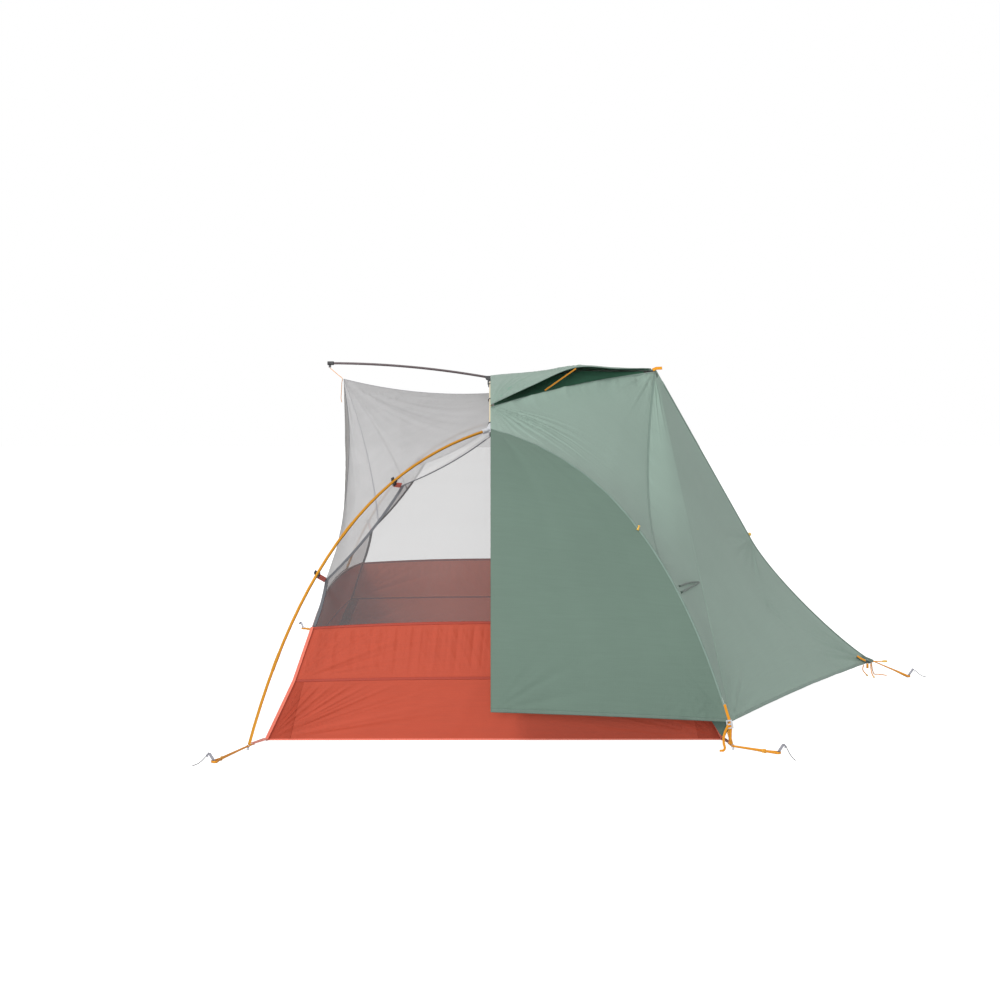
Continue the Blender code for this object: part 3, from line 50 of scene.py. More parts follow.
FOCAL_LENGTH, SENSOR_WIDTH = 68.24, 36.0
CAMERA_DISTANCE, CAMERA_HEIGHT = 6.432, 0.970
CAMERA_PITCH, CAMERA_TURN = 3.12, 0.287

eye = bpy.data.cameras.new("camera")
eye.lens, eye.sensor_width = FOCAL_LENGTH, SENSOR_WIDTH
camera = bpy.data.objects.new("camera", eye)
camera.location = (0.0, -CAMERA_DISTANCE, CAMERA_HEIGHT)
camera.rotation_euler = (math.radians(90.0 - CAMERA_PITCH), 0.0, math.radians(-CAMERA_TURN))
scene.collection.objects.link(camera)
scene.camera = camera

# ---- Material building


def ranged(tree, mask, low, high, socket):
    """Leads a mask into a socket, running from low to high."""
    scale = tree.nodes.new("ShaderNodeMapRange")
    scale.inputs["To Min"].default_value = low
    scale.inputs["To Max"].default_value = high
    tree.links.new(mask, scale.inputs["Value"])
    tree.links.new(scale.outputs[0], socket)


class Nodes:
    """A material's node tree, with its Principled shader and short ways to add to it."""

    def __init__(self, name, colour, roughness, metallic=0.0, **sockets):
        self.material = bpy.data.materials.new(name)
        self.material.use_nodes = True
        self.tree = self.material.node_tree
        self.shader = self.tree.nodes["Principled BSDF"]
        self.colour = (*colour, 1.0)
        self.set("Base Color", self.colour)
        self.set("Roughness", roughness)
        self.set("Metallic", metallic)
        for socket, value in sockets.items():
            self.set(socket.replace("_", " "), value)

    def set(self, socket, value):
        self.shader.inputs[socket].default_value = value

    def add(self, kind, **settings):
        node = self.tree.nodes.new(kind)
        for key, value in settings.items():
            if key in node.inputs:
                node.inputs[key].default_value = value
            else:
                setattr(node, key, value)
        return node

    def link(self, a, b):
        self.tree.links.new(a, b)
        return self

    def math(self, operation, a, b=0.0):
        node = self.add("ShaderNodeMath", operation=operation)
        for k, value in enumerate((a, b)):
            if isinstance(value, (int, float)):
                node.inputs[k].default_value = value
            else:
                self.link(value, node.inputs[k])
        return node.outputs[0]

    def total(self, *parts):
        """The sum of outputs, each times its share."""
        out = None
        for value, share in parts:
            part = self.math("MULTIPLY", value, share)
            out = part if out is None else self.math("ADD", out, part)
        return out

    def place(self, stretch=(1.0, 1.0, 1.0), source="Object", turn=(0.0, 0.0, 0.0)):
        where = self.add("ShaderNodeTexCoord")
        mapping = self.add("ShaderNodeMapping", Scale=stretch, Rotation=turn)
        self.link(where.outputs[source], mapping.inputs["Vector"])
        return mapping.outputs["Vector"]

    def noise(self, at, scale, detail=3.0, roughness=0.55):
        node = self.add("ShaderNodeTexNoise", Scale=scale, Detail=detail, Roughness=roughness)
        self.link(at, node.inputs["Vector"])
        return node.outputs["Fac"]

    def wave(self, at, scale, direction="X"):
        node = self.add("ShaderNodeTexWave", bands_direction=direction, wave_profile="SIN", Scale=scale,
                        Distortion=0.0)
        self.link(at, node.inputs["Vector"])
        return node.outputs["Fac"]

    def tint(self, mask, low, high, into=None):
        """The colour runs from low to high times itself over the mask. Returns the mixed colour."""
        mix = self.add("ShaderNodeMix", data_type="RGBA")
        sockets = [s for s in mix.inputs if s.type == "RGBA"]
        for socket, share in zip(sockets, (low, high)):
            socket.default_value = (*[min(1.0, c * share) for c in self.colour[:3]], 1.0)
        self.link(mask, mix.inputs[0])
        out = [s for s in mix.outputs if s.type == "RGBA"][0]
        self.link(out, into or self.shader.inputs["Base Color"])
        return out

    def multiply(self, colour, mask, low, high):
        """Darkens or lightens a colour output by a mask, from low to high."""
        product = self.add("ShaderNodeVectorMath", operation="SCALE")
        self.link(colour, product.inputs[0])
        ranged(self.tree, mask, low, high, product.inputs["Scale"])
        self.link(product.outputs[0], self.shader.inputs["Base Color"])
        return product.outputs[0]

    def roughen(self, mask, low, high):
        ranged(self.tree, mask, low, high, self.shader.inputs["Roughness"])

    def bump(self, height, strength, distance):
        node = self.add("ShaderNodeBump", Strength=strength, Distance=distance)
        self.link(height, node.inputs["Height"])
        self.link(node.outputs["Normal"], self.shader.inputs["Normal"])


def linear(r, g, b):
    """A colour as it is seen, from 0 to 255, to the shader's values."""
    return tuple((c / 12.92 if c <= 0.04045 else ((c + 0.055) / 1.055) ** 2.4)
                 for c in (r / 255.0, g / 255.0, b / 255.0))


def ripstop(name, colour, roughness=0.58):
    """Coated nylon: fine weave, a thicker thread every 5 mm, faint mottling along the threads."""
    m = Nodes(name, colour, roughness, Sheen_Weight=0.03, Sheen_Roughness=0.4, Specular_IOR_Level=0.2)
    uv = m.place(source="UV")
    threads = m.math("POWER", m.math("MAXIMUM", m.wave(uv, 62.8), m.wave(uv, 62.8, "Y")), 14.0)
    weave = m.math("ADD", m.wave(uv, 500.0), m.wave(uv, 500.0, "Y"))
    streaks = m.noise(m.place((3.0, 40.0, 1.0), "UV"), 3.0, 4.0)
    clouds = m.noise(m.place(), 3.2)
    mixed = m.tint(clouds, 0.90, 1.10)
    mixed = m.multiply(mixed, streaks, 0.93, 1.07)
    m.multiply(mixed, threads, 1.0, 1.05)
    m.roughen(streaks, roughness - 0.06, roughness + 0.06)
    wrinkles = m.noise(m.place((1.0, 2.0, 1.0), "UV"), 26.0, 4.0)
    m.bump(m.total((threads, 0.5), (weave, 0.25), (wrinkles, 2.4)), 0.25, 0.0011)
    return m.material


def stitched(name, colour):
    """Sewn tape: two rows of lockstitch, 3 mm to the stitch, on a tight weave. Its V runs from 0 to 1 across."""
    m = Nodes(name, colour, 0.62, Sheen_Weight=0.1)
    uv = m.place(source="UV")
    parts = m.add("ShaderNodeSeparateXYZ")
    m.link(uv, parts.inputs[0])
    off = m.math("ABSOLUTE", m.math("SUBTRACT", parts.outputs["Y"], 0.5))
    near = m.add("ShaderNodeMath", operation="COMPARE")
    near.inputs[1].default_value, near.inputs[2].default_value = 0.28, 0.06
    m.link(off, near.inputs[0])
    thread = m.math("MULTIPLY", near.outputs[0], m.math("GREATER_THAN", m.wave(uv, 104.7), 0.35))
    grain = m.noise(m.place(), 240.0, 4.0)
    mixed = m.tint(grain, 0.84, 1.12)
    m.multiply(mixed, thread, 1.0, 1.4)
    m.roughen(grain, 0.62 - 0.05, 0.62 + 0.08)
    m.bump(m.total((thread, 0.8), (grain, 0.5)), 0.45, 0.0006)
    return m.material


def netting(name, colour, alpha):
    """Fine insect mesh: a sheet that the eye sees through, with its knit just visible."""
    m = Nodes(name, colour, 0.85, Alpha=alpha, Specular_IOR_Level=0.2)
    uv = m.place(source="UV")
    knit = m.math("MULTIPLY", m.wave(uv, 260.0), m.wave(uv, 260.0, "Y"))
    clouds = m.noise(m.place((1.0, 1.6, 1.0), "UV"), 7.0, 5.0, 0.65)
    mixed = m.tint(clouds, 0.90, 1.12)
    m.multiply(mixed, knit, 0.94, 1.06)
    m.bump(m.math("ADD", m.math("MULTIPLY", knit, 0.4), clouds), 0.12, 0.0008)
    return m.material


def webbing(name, colour):
    """Narrow woven tape: ribs across it, two thread columns and a little fuzz."""
    m = Nodes(name, colour, 0.82, Sheen_Weight=0.25)
    uv = m.place(source="UV")
    ribs, columns = m.wave(uv, 150.0), m.wave(uv, 100.0, "Y")
    fuzz = m.noise(m.place(), 420.0, 4.0)
    mixed = m.tint(fuzz, 0.82, 1.14)
    mixed = m.multiply(mixed, ribs, 0.80, 1.08)
    m.multiply(mixed, columns, 0.92, 1.04)
    m.bump(m.total((ribs, 0.7), (columns, 0.4)), 0.5, 0.0005)
    return m.material


def anodised(name, colour, roughness, metallic=0.85):
    """Drawn aluminium tube: fine marks along it and a slight change of tone."""
    m = Nodes(name, colour, roughness, metallic, Specular_IOR_Level=0.5)
    marks = m.noise(m.place((9.0, 9.0, 1.2)), 60.0, 5.0, 0.7)
    tone = m.noise(m.place(), 5.0, 2.0)
    mixed = m.tint(tone, 0.90, 1.06)
    m.multiply(mixed, marks, 0.92, 1.05)
    m.roughen(marks, roughness - 0.09, roughness + 0.13)
    m.bump(marks, 0.06, 0.0002)
    return m.material


def moulded(name, colour, roughness=0.48):
    """Moulded nylon with a fine spark texture and paler worn edges."""
    m = Nodes(name, colour, roughness)
    spark = m.noise(m.place(), 1300.0, 2.0)
    wear = m.noise(m.place(), 70.0, 4.0)
    mixed = m.tint(wear, 0.75, 1.5)
    m.multiply(mixed, spark, 0.9, 1.12)
    m.roughen(wear, roughness - 0.1, roughness + 0.12)
    m.bump(spark, 0.12, 0.0002)
    return m.material


def sheath(name, colour):
    """A braided cord: slanted plaits that cross round it."""
    m = Nodes(name, colour, 0.8, Sheen_Weight=0.2)
    one, other = (m.wave(m.place(turn=turn), 1500.0 / 6.28, "DIAGONAL")
                  for turn in ((0.6, 0.5, 0.8), (-0.7, 0.4, -0.6)))
    plait = m.math("MAXIMUM", one, other)
    mixed = m.tint(m.noise(m.place(), 500.0), 0.85, 1.12)
    m.multiply(mixed, plait, 0.72, 1.1)
    m.bump(plait, 0.5, 0.0004)
    return m.material


FLY = ripstop("fly_nylon", linear(150, 172, 160))
# Painted shade: the fly's end panels are the same nylon as FLY, coloured darker for the less light that falls on them
# from above.
FLY_END_SHADED = ripstop("fly_end_nylon", linear(103, 124, 112))
FLY_TAPE = stitched("fly_seam_tape", linear(122, 144, 133))
FLY_EDGE = stitched("fly_edge_tape", linear(82, 104, 93))
FLY_HEM = stitched("fly_hem_tape", linear(94, 114, 103))
# Painted light: the vent hood's underside is the same nylon as FLY, coloured a brighter, deeper green for the light
# that passes through the fly.
FLY_UNDERSIDE_PAINTED_LIGHT = ripstop("fly_underside_painted_light", linear(116, 190, 160), 0.6)
FLY_KNOT = moulded("dark_green_plastic", linear(34, 48, 42))
# Painted shade: the corner flap is of the fly's end nylon, coloured a darker grey-green for the shade under the hem.
FLAP = ripstop("shaded_flap_nylon", linear(80, 100, 92))
VENT_MESH = netting("vent_mesh", linear(76, 122, 100), 0.95)
FLY_LOOP = webbing("dark_green_webbing", linear(62, 86, 74))
TUB = ripstop("tub_nylon", linear(187, 78, 55), 0.52)
# Painted light: the inside face of the tub walls is the same nylon as TUB, coloured brighter for the light that comes
# through the walls.
TUB_INSIDE_PAINTED_LIGHT = ripstop("tub_lining_nylon", linear(253, 130, 92), 0.6)
TUB_DOUBLE = ripstop("tub_double_nylon", linear(172, 68, 46), 0.56)
TUB_TAPE = stitched("tub_seam_tape", linear(163, 54, 33))
# The corner piping is real; its pale pink is partly painted highlight, for the brightly lit edge of the side wall
# seen edge-on. The same pink binds the hem of each wall.
TUB_EDGE = stitched("tub_corner_tape", linear(236, 122, 100))
MESH_END = netting("end_mesh", (0.31, 0.31, 0.315), 0.33)
MESH_SIDE = netting("canopy_mesh", (0.62, 0.62, 0.625), 0.70)
MESH_DOOR = netting("door_mesh", (0.45, 0.445, 0.435), 0.74)
MESH_TAPE = stitched("grey_edge_tape", linear(94, 96, 101))
SEAM_TAPE = stitched("pale_seam_tape", linear(156, 156, 160))
ORANGE = webbing("orange_webbing", linear(255, 162, 16))
PINK = webbing("corner_webbing", linear(240, 140, 118))
RUST_TAB = webbing("rust_clip_webbing", linear(232, 94, 73))
GOLD = anodised("gold_pole", linear(204, 142, 42), 0.34)
# Painted reflection: the ridge pole is gold like the legs, coloured pale cream for the sky that it reflects.
RIDGE_GOLD_PAINTED_SKY = anodised("ridge_pole_painted_sky_reflection", linear(238, 224, 188), 0.45, 0.3)
DARK_POLE = anodised("dark_pole", linear(100, 90, 92), 0.4, 0.6)
BLACK = moulded("black_plastic", (0.022, 0.022, 0.024))
AMBER = moulded("amber_plastic", linear(240, 176, 70), 0.35)
GREY_PLASTIC = moulded("pale_plastic", linear(196, 198, 202))
EYELET = anodised("eyelet_metal", linear(170, 172, 178), 0.3, 0.9)
STAKE = anodised("stake_aluminium", linear(150, 150, 158), 0.4, 0.75)
CORD_ORANGE = sheath("orange_cord", linear(250, 160, 30))
CORD_GREY = sheath("grey_cord", linear(120, 120, 124))

for prefix, material in {
    "leg_": GOLD, "ridge_": RIDGE_GOLD_PAINTED_SKY, "spreader_": DARK_POLE, "hub_": GREY_PLASTIC, "swivel_": BLACK,
    "tip_cap": BLACK, "clip_": BLACK, "stake_": STAKE, "buckle_": GREY_PLASTIC, "vent_strut": ORANGE,
    "zip_slider": AMBER,
}.items():
    for name, thing in nodes.items():
        if name.startswith(prefix):
            thing.data.materials.clear()
            thing.data.materials.append(material)

# ---- Curves


def lerp(a, b, t):
    return a + (b - a) * t


def arc(a, b, bow=(0.0, 0.0, 0.0)):
    start, end, off = Vector(a), Vector(b), Vector(bow)
    return lambda t: lerp(start, end, t) + off * (4.0 * t * (1.0 - t))


def bezier(a, b, c, d):
    p = [Vector(q) for q in (a, b, c, d)]
    return lambda t: (p[0] * (1 - t) ** 3 + p[1] * 3 * t * (1 - t) ** 2
                      + p[2] * 3 * t * t * (1 - t) + p[3] * t ** 3)


def chain(*runs):
    def at(t):
        start = 0.0
        for run, end in runs:
            if t <= end + 1e-9:
                return run((t - start) / (end - start))
            start = end
        return runs[-1][0](1.0)
    return at


def part_of(curve, start, end):
    return lambda t: curve(lerp(start, end, t))


def smooth(points):
    p = [Vector(q) for q in points]
    p = [p[0] * 2 - p[1]] + p + [p[-1] * 2 - p[-2]]
    spans = len(p) - 3

    def at(t):
        i = min(int(t * spans), spans - 1)
        s = t * spans - i
        a, b, c, d = p[i:i + 4]
        return 0.5 * (b * 2 + (c - a) * s + (a * 2 - b * 5 + c * 4 - d) * s * s
                      + (b * 3 - a - c * 3 + d) * s ** 3)
    return at


def flip(point, sx, sy):
    return Vector((point[0] * sx, point[1] * sy, point[2]))


def mirrored(curve, sx, sy):
    return lambda t: flip(curve(t), sx, sy)


def spanning(point, sy, bow=(0.0, 0.0, 0.0)):
    """From a place on the left to the same place on the right."""
    return arc(flip(point, -1, sy), flip(point, 1, sy), bow)


def reversed_curve(curve):
    return lambda t: curve(1.0 - t)


def line(curve, count):
    return np.array([curve(k / count) for k in range(count + 1)])


def patch(bottom, top, left, right, nu, nv):
    """The grid of points on the surface that four edge curves bound."""
    b, t, l, r = line(bottom, nu), line(top, nu), line(left, nv), line(right, nv)
    u = np.linspace(0.0, 1.0, nu + 1)[:, None, None]
    v = np.linspace(0.0, 1.0, nv + 1)[None, :, None]
    across = b[:, None] * (1 - v) + t[:, None] * v
    along = l[None] * (1 - u) + r[None] * u
    flat = b[0] * (1 - u) * (1 - v) + b[-1] * u * (1 - v) + t[0] * (1 - u) * v + t[-1] * u * v
    return across + along - flat


def normals(grid, outward):
    du, dv = np.gradient(grid, axis=0), np.gradient(grid, axis=1)
    n = np.cross(du, dv)
    size = np.linalg.norm(n, axis=2, keepdims=True)
    n = n / np.maximum(size, 1e-12)
    mean = n.reshape(-1, 3).mean(0)
    return n * (1.0 if mean @ np.array(outward) > 0 else -1.0)


# The poles and the points that the panels hang from

FOOT_X, FOOT_Y, HUB_Y, HUB_HEIGHT, RIDGE_HEIGHT = 0.668, 1.265, 0.720, 0.872, 1.018
LEG_STEEPNESS, LEG_SHOULDER = (0.196, 0.586), (0.509, 0.892)
SPREADER_SPAN, SPREADER_HEIGHT, SPREADER_RISE_LEFT, SPREADER_RISE_RIGHT = 0.545, 1.034, 0.049, 0.018
TIP_CAP_LENGTH = 0.022
leg_span = math.hypot(FOOT_X, FOOT_Y - HUB_Y)


def leg(t):
    """The right front leg, from its foot at 0 to the hub at 1."""
    low, high = ((x * leg_span, 0, z * HUB_HEIGHT) for x, z in (LEG_STEEPNESS, LEG_SHOULDER))
    flat = bezier((0, 0, 0), low, high, (leg_span, 0, HUB_HEIGHT))(t)
    share = flat.x / leg_span
    return Vector((FOOT_X * (1 - share), -lerp(FOOT_Y, HUB_Y, share), flat.z))


def leg_direction(t):
    return (leg(min(t + 0.01, 1.0)) - leg(max(t - 0.01, 0.0))).normalized()


def leg_at(height):
    low, high = 0.0, 1.0
    for _ in range(30):
        middle = 0.5 * (low + high)
        low, high = (middle, high) if leg(middle).z < height else (low, middle)
    return low


leg_plan = Vector((FOOT_X, -(FOOT_Y - HUB_Y), 0.0)).normalized()
leg_forward = Vector((leg_plan.y, -leg_plan.x, 0.0))


def ridge(y):
    return lerp(RIDGE_HEIGHT, HUB_HEIGHT, (y / HUB_Y) ** 2)


def spreader_height(x):
    rise = SPREADER_RISE_LEFT if x < 0 else SPREADER_RISE_RIGHT
    return SPREADER_HEIGHT + rise * (1 - (1 - min(abs(x) / SPREADER_SPAN, 1.0)) ** 2)


QUARTERS = (("front_left", -1, 1), ("front_right", 1, 1), ("rear_left", -1, -1), ("rear_right", 1, -1))
LOOP_RADIUS = 0.0078
ENDS = (("front", 1), ("rear", -1))
SIDES = (("left", -1), ("right", 1))

# ---- Relief


def ripple(x, seed):
    """A smooth uneven wave from -1 to 1."""
    turn = np.sin(np.array([1.0, 2.3, 3.7, 5.1]) * (seed + 1.37)) * 7.0
    return (0.50 * np.sin(x + turn[0]) + 0.28 * np.sin(1.73 * x + turn[1])
            + 0.16 * np.sin(2.91 * x + turn[2]) + 0.10 * np.sin(4.57 * x + turn[3]))


def window(x, low=0.0, high=1.0, soft=0.08):
    """1 between low and high, easing to 0 at both."""
    a = np.clip((x - low) / soft, 0, 1)
    b = np.clip((high - x) / soft, 0, 1)
    return a * a * (3 - 2 * a) * b * b * (3 - 2 * b)


def ridged(x, seed):
    """Narrow creases between flat stretches, from 0 to 1."""
    return (1.0 - np.abs(ripple(x * math.pi, seed))) ** 5


def fan(sheet, corner, toward, spread, count, height, reach, seed, sharp=True):
    """Tension folds that run out from a point of the sheet, soft or with sharp crests."""
    d = sheet.grid - np.array(corner)
    axis = np.array(toward) - np.array(corner)
    axis = axis / np.linalg.norm(axis)
    side = np.cross(sheet.facing, axis)
    side = side / np.linalg.norm(side)
    r = np.linalg.norm(d, axis=2)
    angle = np.arctan2(d @ side, d @ axis)
    share = np.clip(1 - (angle / spread) ** 2, 0, 1)
    fade = (r / reach) * np.exp(1 - r / reach)
    fade = np.where(r < reach, fade ** 0.7, fade ** 2.0)
    wave = ripple(angle / spread * count * math.pi, seed)
    if sharp:
        wave = 0.45 * wave + 0.9 * (ridged(angle / spread * count, seed + 11) - 0.3)
    return height * wave * share * fade


def billow(sheet, nu, nv, height, seed):
    return height * ripple(sheet.u * nu * math.pi + 0.7 * ripple(sheet.v * nv * 2.0, seed + 3), seed) \
        * (0.6 + 0.4 * ripple(sheet.v * nv * math.pi, seed + 5))


def pucker(along, away, count, height, reach, seed):
    """Short folds that a seam draws, along it by along and away from it in metres."""
    return height * ripple(along * count * math.pi, seed) * np.exp(-away / reach)


def crease(away, at, width, height):
    return height * np.exp(-((away - at) / width) ** 2)


class Sheet:
    """A panel's grid, its own directions and the lengths along and across it."""

    def __init__(self, grid, outward):
        self.grid = grid
        self.normal = normals(grid, outward)
        self.facing = self.normal.reshape(-1, 3).mean(0)
        nu, nv = grid.shape[0], grid.shape[1]
        self.u = np.linspace(0, 1, nu)[:, None] * np.ones((1, nv))
        self.v = np.linspace(0, 1, nv)[None, :] * np.ones((nu, 1))
        du = np.linalg.norm(np.diff(grid, axis=0), axis=2)
        dv = np.linalg.norm(np.diff(grid, axis=1), axis=2)
        self.s = np.vstack([np.zeros((1, nv)), np.cumsum(du, axis=0)])
        self.t = np.hstack([np.zeros((nu, 1)), np.cumsum(dv, axis=1)])
        self.width, self.height = self.s[-1].max(), self.t[:, -1].max()
        self.left, self.right = self.s, self.s[-1] - self.s
        self.low, self.high = self.t, self.t[:, -1:] - self.t

    def held(self, edges="LRBT", soft=0.03):
        """0 at the named edges and 1 away from them."""
        mask = np.ones_like(self.u)
        for edge in edges:
            away = {"L": self.left, "R": self.right, "B": self.low, "T": self.high}[edge]
            a = np.clip(away / soft, 0, 1)
            mask = mask * a * a * (3 - 2 * a)
        return mask

    def lift(self, height):
        self.grid = self.grid + self.normal * height[..., None]
        return self

    def area(self):
        a = self.grid[1:, :-1] - self.grid[:-1, :-1]
        b = self.grid[:-1, 1:] - self.grid[:-1, :-1]
        return float(np.linalg.norm(np.cross(a, b), axis=2).sum())

    def sample(self, u, v):
        """Points and normals of the finished sheet at arrays of u and v."""
        nu, nv = self.grid.shape[0] - 1, self.grid.shape[1] - 1
        x, y = np.clip(u, 0, 1) * nu, np.clip(v, 0, 1) * nv
        i, j = np.minimum(x.astype(int), nu - 1), np.minimum(y.astype(int), nv - 1)
        a, b = (x - i)[..., None], (y - j)[..., None]

        def mix(values):
            return (values[i, j] * (1 - a) * (1 - b) + values[i + 1, j] * a * (1 - b)
                    + values[i, j + 1] * (1 - a) * b + values[i + 1, j + 1] * a * b)
        return mix(self.grid), mix(self.normal)

    def spot(self, u, v):
        point, normal = self.sample(np.array([[u]]), np.array([[v]]))
        return Vector(point[0, 0]), Vector(normal[0, 0]).normalized()

    def size_at(self, edge, k):
        """How far the sheet reaches from an edge, at shares k along it."""
        reach = self.s[-1] if edge in "LR" else self.t[:, -1]
        return np.interp(k, np.linspace(0, 1, len(reach)), reach)


# ---- Piece building


def finish(thing, body, slot=None, *replaced):
    if thing.name not in scene.collection.objects:
        scene.collection.objects.link(thing)
    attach(thing, body)
    if replaced:
        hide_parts(*replaced)
    return thing


def built(name, verts, faces, material, uvs=None, mend=None):
    """An object with one smooth mesh. mend works on it as a bmesh."""
    mesh = bpy.data.meshes.new(name)
    mesh.from_pydata([tuple(v) for v in verts], [], faces)
    if uvs:
        mesh.uv_layers.new(name="UVMap").data.foreach_set("uv", np.array(uvs, np.float32).ravel())
    if mend:
        bm = bmesh.new()
        bm.from_mesh(mesh)
        mend(bm)
        bm.to_mesh(mesh)
        bm.free()
    mesh.shade_smooth()
    mesh.materials.append(material)
    thing = bpy.data.objects.new(name, mesh)
    scene.collection.objects.link(thing)
    return thing


def join_edges(bm):
    bmesh.ops.remove_doubles(bm, verts=bm.verts, dist=0.0002)


def face_outward(bm):
    bmesh.ops.recalc_face_normals(bm, faces=bm.faces)


def close_up(bm):
    bmesh.ops.remove_doubles(bm, verts=bm.verts, dist=0.000005)
    bmesh.ops.holes_fill(bm, edges=bm.edges, sides=0)
    face_outward(bm)


def panel(name, sheets, material, thickness):
    """An object of one or more grids that share an edge."""
    verts, faces, uvs, base = [], [], [], 0
    for sheet in sheets:
        nu, nv = sheet.grid.shape[0], sheet.grid.shape[1]
        verts.extend(sheet.grid.reshape(-1, 3))
        turned = np.mean(np.cross(np.gradient(sheet.grid, axis=0), np.gradient(sheet.grid, axis=1))
                         * sheet.normal) < 0
        for i in range(nu - 1):
            for j in range(nv - 1):
                loop = [(i, j), (i + 1, j), (i + 1, j + 1), (i, j + 1)]
                if turned:
                    loop.reverse()
                faces.append([base + a * nv + b for a, b in loop])
                uvs.extend((sheet.s[a, b], sheet.t[a, b]) for a, b in loop)
        base += nu * nv
    thing = built(name, verts, faces, material, uvs, join_edges if len(sheets) > 1 else None)
    if thickness:
        shell = thing.modifiers.new("thickness", "SOLIDIFY")
        shell.thickness = thickness
        shell.offset = 0.0
    return thing


def cloth(name, sheets, material, *nodes_of, body="tent", slot="fly_nylon", held="stretched", rests=(),
          thickness=0.0004, digits=4):
    """One sheet of cloth, in place of its node if it has one."""
    thing = panel(name, sheets, material, thickness)
    area = sum(sheet.area() for sheet in sheets)
    finish(thing, body, slot, *nodes_of)


def patch_on(name, sheet, u, v, material, body="tent", slot="fly_nylon", lift=0.0, thickness=0.0010):
    """A piece of cloth sewn on a sheet, over the arrays u and v of its directions."""
    points, normal = sheet.sample(u, v)
    piece = Sheet(points + normal * lift, sheet.facing)
    piece.t = np.linspace(0, 1, u.shape[1])[None, :] * np.ones_like(u)
    thing = panel(name, [piece], material, thickness)
    return finish(thing, body, slot)


def tape(name, sheet, edge, width, material, body="tent", slot="fly_nylon", lift=0.0, thickness=0.0010,
         inset=0.0, span=(0.0, 1.0), count=90):
    """Tape along an edge of a sheet, L, R, B or T, or along its middle, M. width may be a function of the share."""
    k = np.linspace(*span, count)
    wide = width(k) if callable(width) else np.full_like(k, width)
    side = "B" if edge == "M" else edge
    reach = sheet.size_at(side, k)
    if edge == "M":
        away = 0.5 + np.linspace(-0.5, 0.5, 4)[None, :] * (wide / reach)[:, None]
    else:
        away = (inset + np.linspace(0, 1, 4)[None, :] * wide[:, None]) / reach[:, None]
    along = k[:, None] * np.ones_like(away)
    away = 1 - away if edge in "RT" else away
    u, v = (away, along) if edge in "LR" else (along, away)
    return patch_on(name, sheet, u, v, material, body, slot, lift, thickness)


def tube(name, points, radius, material, body="tent", slot=None, *replaced, closed=False):
    data = bpy.data.curves.new(name, "CURVE")
    data.dimensions = "3D"
    data.bevel_depth = radius
    data.bevel_resolution = 3
    data.use_fill_caps = True
    spline = data.splines.new("POLY")
    spline.points.add(len(points) - 1)
    for k, point in enumerate(points):
        spline.points[k].co = (*point, 1.0)
    spline.use_cyclic_u = closed
    data.materials.append(material)
    return finish(bpy.data.objects.new(name, data), body, slot, *replaced)


def lathe(name, profile, centre, axis, material, body="tent", slot=None, sides=28):
    """A turned piece from (radius, height) pairs, closed on itself or at its ends."""
    turn = Vector(axis).normalized().to_track_quat("Z", "Y").to_matrix()
    angles = [2 * math.pi * k / sides for k in range(sides)]
    verts = [Vector(centre) + turn @ Vector((r * math.cos(a), r * math.sin(a), h))
             for r, h in profile for a in angles]
    faces = [[a * sides + k, a * sides + (k + 1) % sides, (a + 1) * sides + (k + 1) % sides, (a + 1) * sides + k]
             for a in range(len(profile) - 1) for k in range(sides)]
    return finish(built(name, verts, faces, material, mend=close_up), body, slot)


def ring_profile(major, minor, steps=10):
    return [(major + minor * math.cos(2 * math.pi * k / steps), minor * math.sin(2 * math.pi * k / steps))
            for k in range(steps + 1)]


def strip(name, centres, outs, width, thickness, material, body="tent", slot="webbing", *replaced,
          crown=0.0, widths=None):
    """A closed band along centres: outs are its face directions, and its back lies on centres."""
    centres = [Vector(c) for c in centres]
    count = len(centres)
    profile = [(-0.5, 0.0), (-0.5, 0.6), (-0.42, 1.0), (0.0, 1.0 + crown), (0.42, 1.0), (0.5, 0.6), (0.5, 0.0)]
    verts, faces, uvs, run = [], [], [], 0.0
    size = len(profile)
    runs = []
    for k in range(count):
        ahead = (centres[min(k + 1, count - 1)] - centres[max(k - 1, 0)]).normalized()
        out = Vector(outs[k] if isinstance(outs, list) else outs).normalized()
        side = ahead.cross(out).normalized()
        out = side.cross(ahead).normalized()
        if k:
            run += (centres[k] - centres[k - 1]).length
        runs.append(run)
        w = width if widths is None else widths[k]
        verts.extend(centres[k] + side * (a * w) + out * (b * thickness) for a, b in profile)
    for k in range(count - 1):
        for m in range(size):
            n = (m + 1) % size
            faces.append([k * size + m, k * size + n, (k + 1) * size + n, (k + 1) * size + m])
            uvs.extend([(runs[k], m * width / size), (runs[k], (m + 1) * width / size),
                        (runs[k + 1], (m + 1) * width / size), (runs[k + 1], m * width / size)])
    for ring in (list(range(size))[::-1], [(count - 1) * size + m for m in range(size)]):
        faces.append(ring)
        uvs.extend([(0.0, 0.0)] * size)
    return finish(built(name, verts, faces, material, uvs, face_outward), body, slot, *replaced)


def level(v):
    return Vector((v[0], v[1], 0.0)).normalized()


def spaced(points, step=0.004):
    """The same run of points, no further apart than step."""
    out = [Vector(points[0])]
    for a, b in zip(points, points[1:]):
        a, b = Vector(a), Vector(b)
        n = max(1, int(math.ceil((b - a).length / step)))
        out += [lerp(a, b, k / n) for k in range(1, n + 1)]
    return out


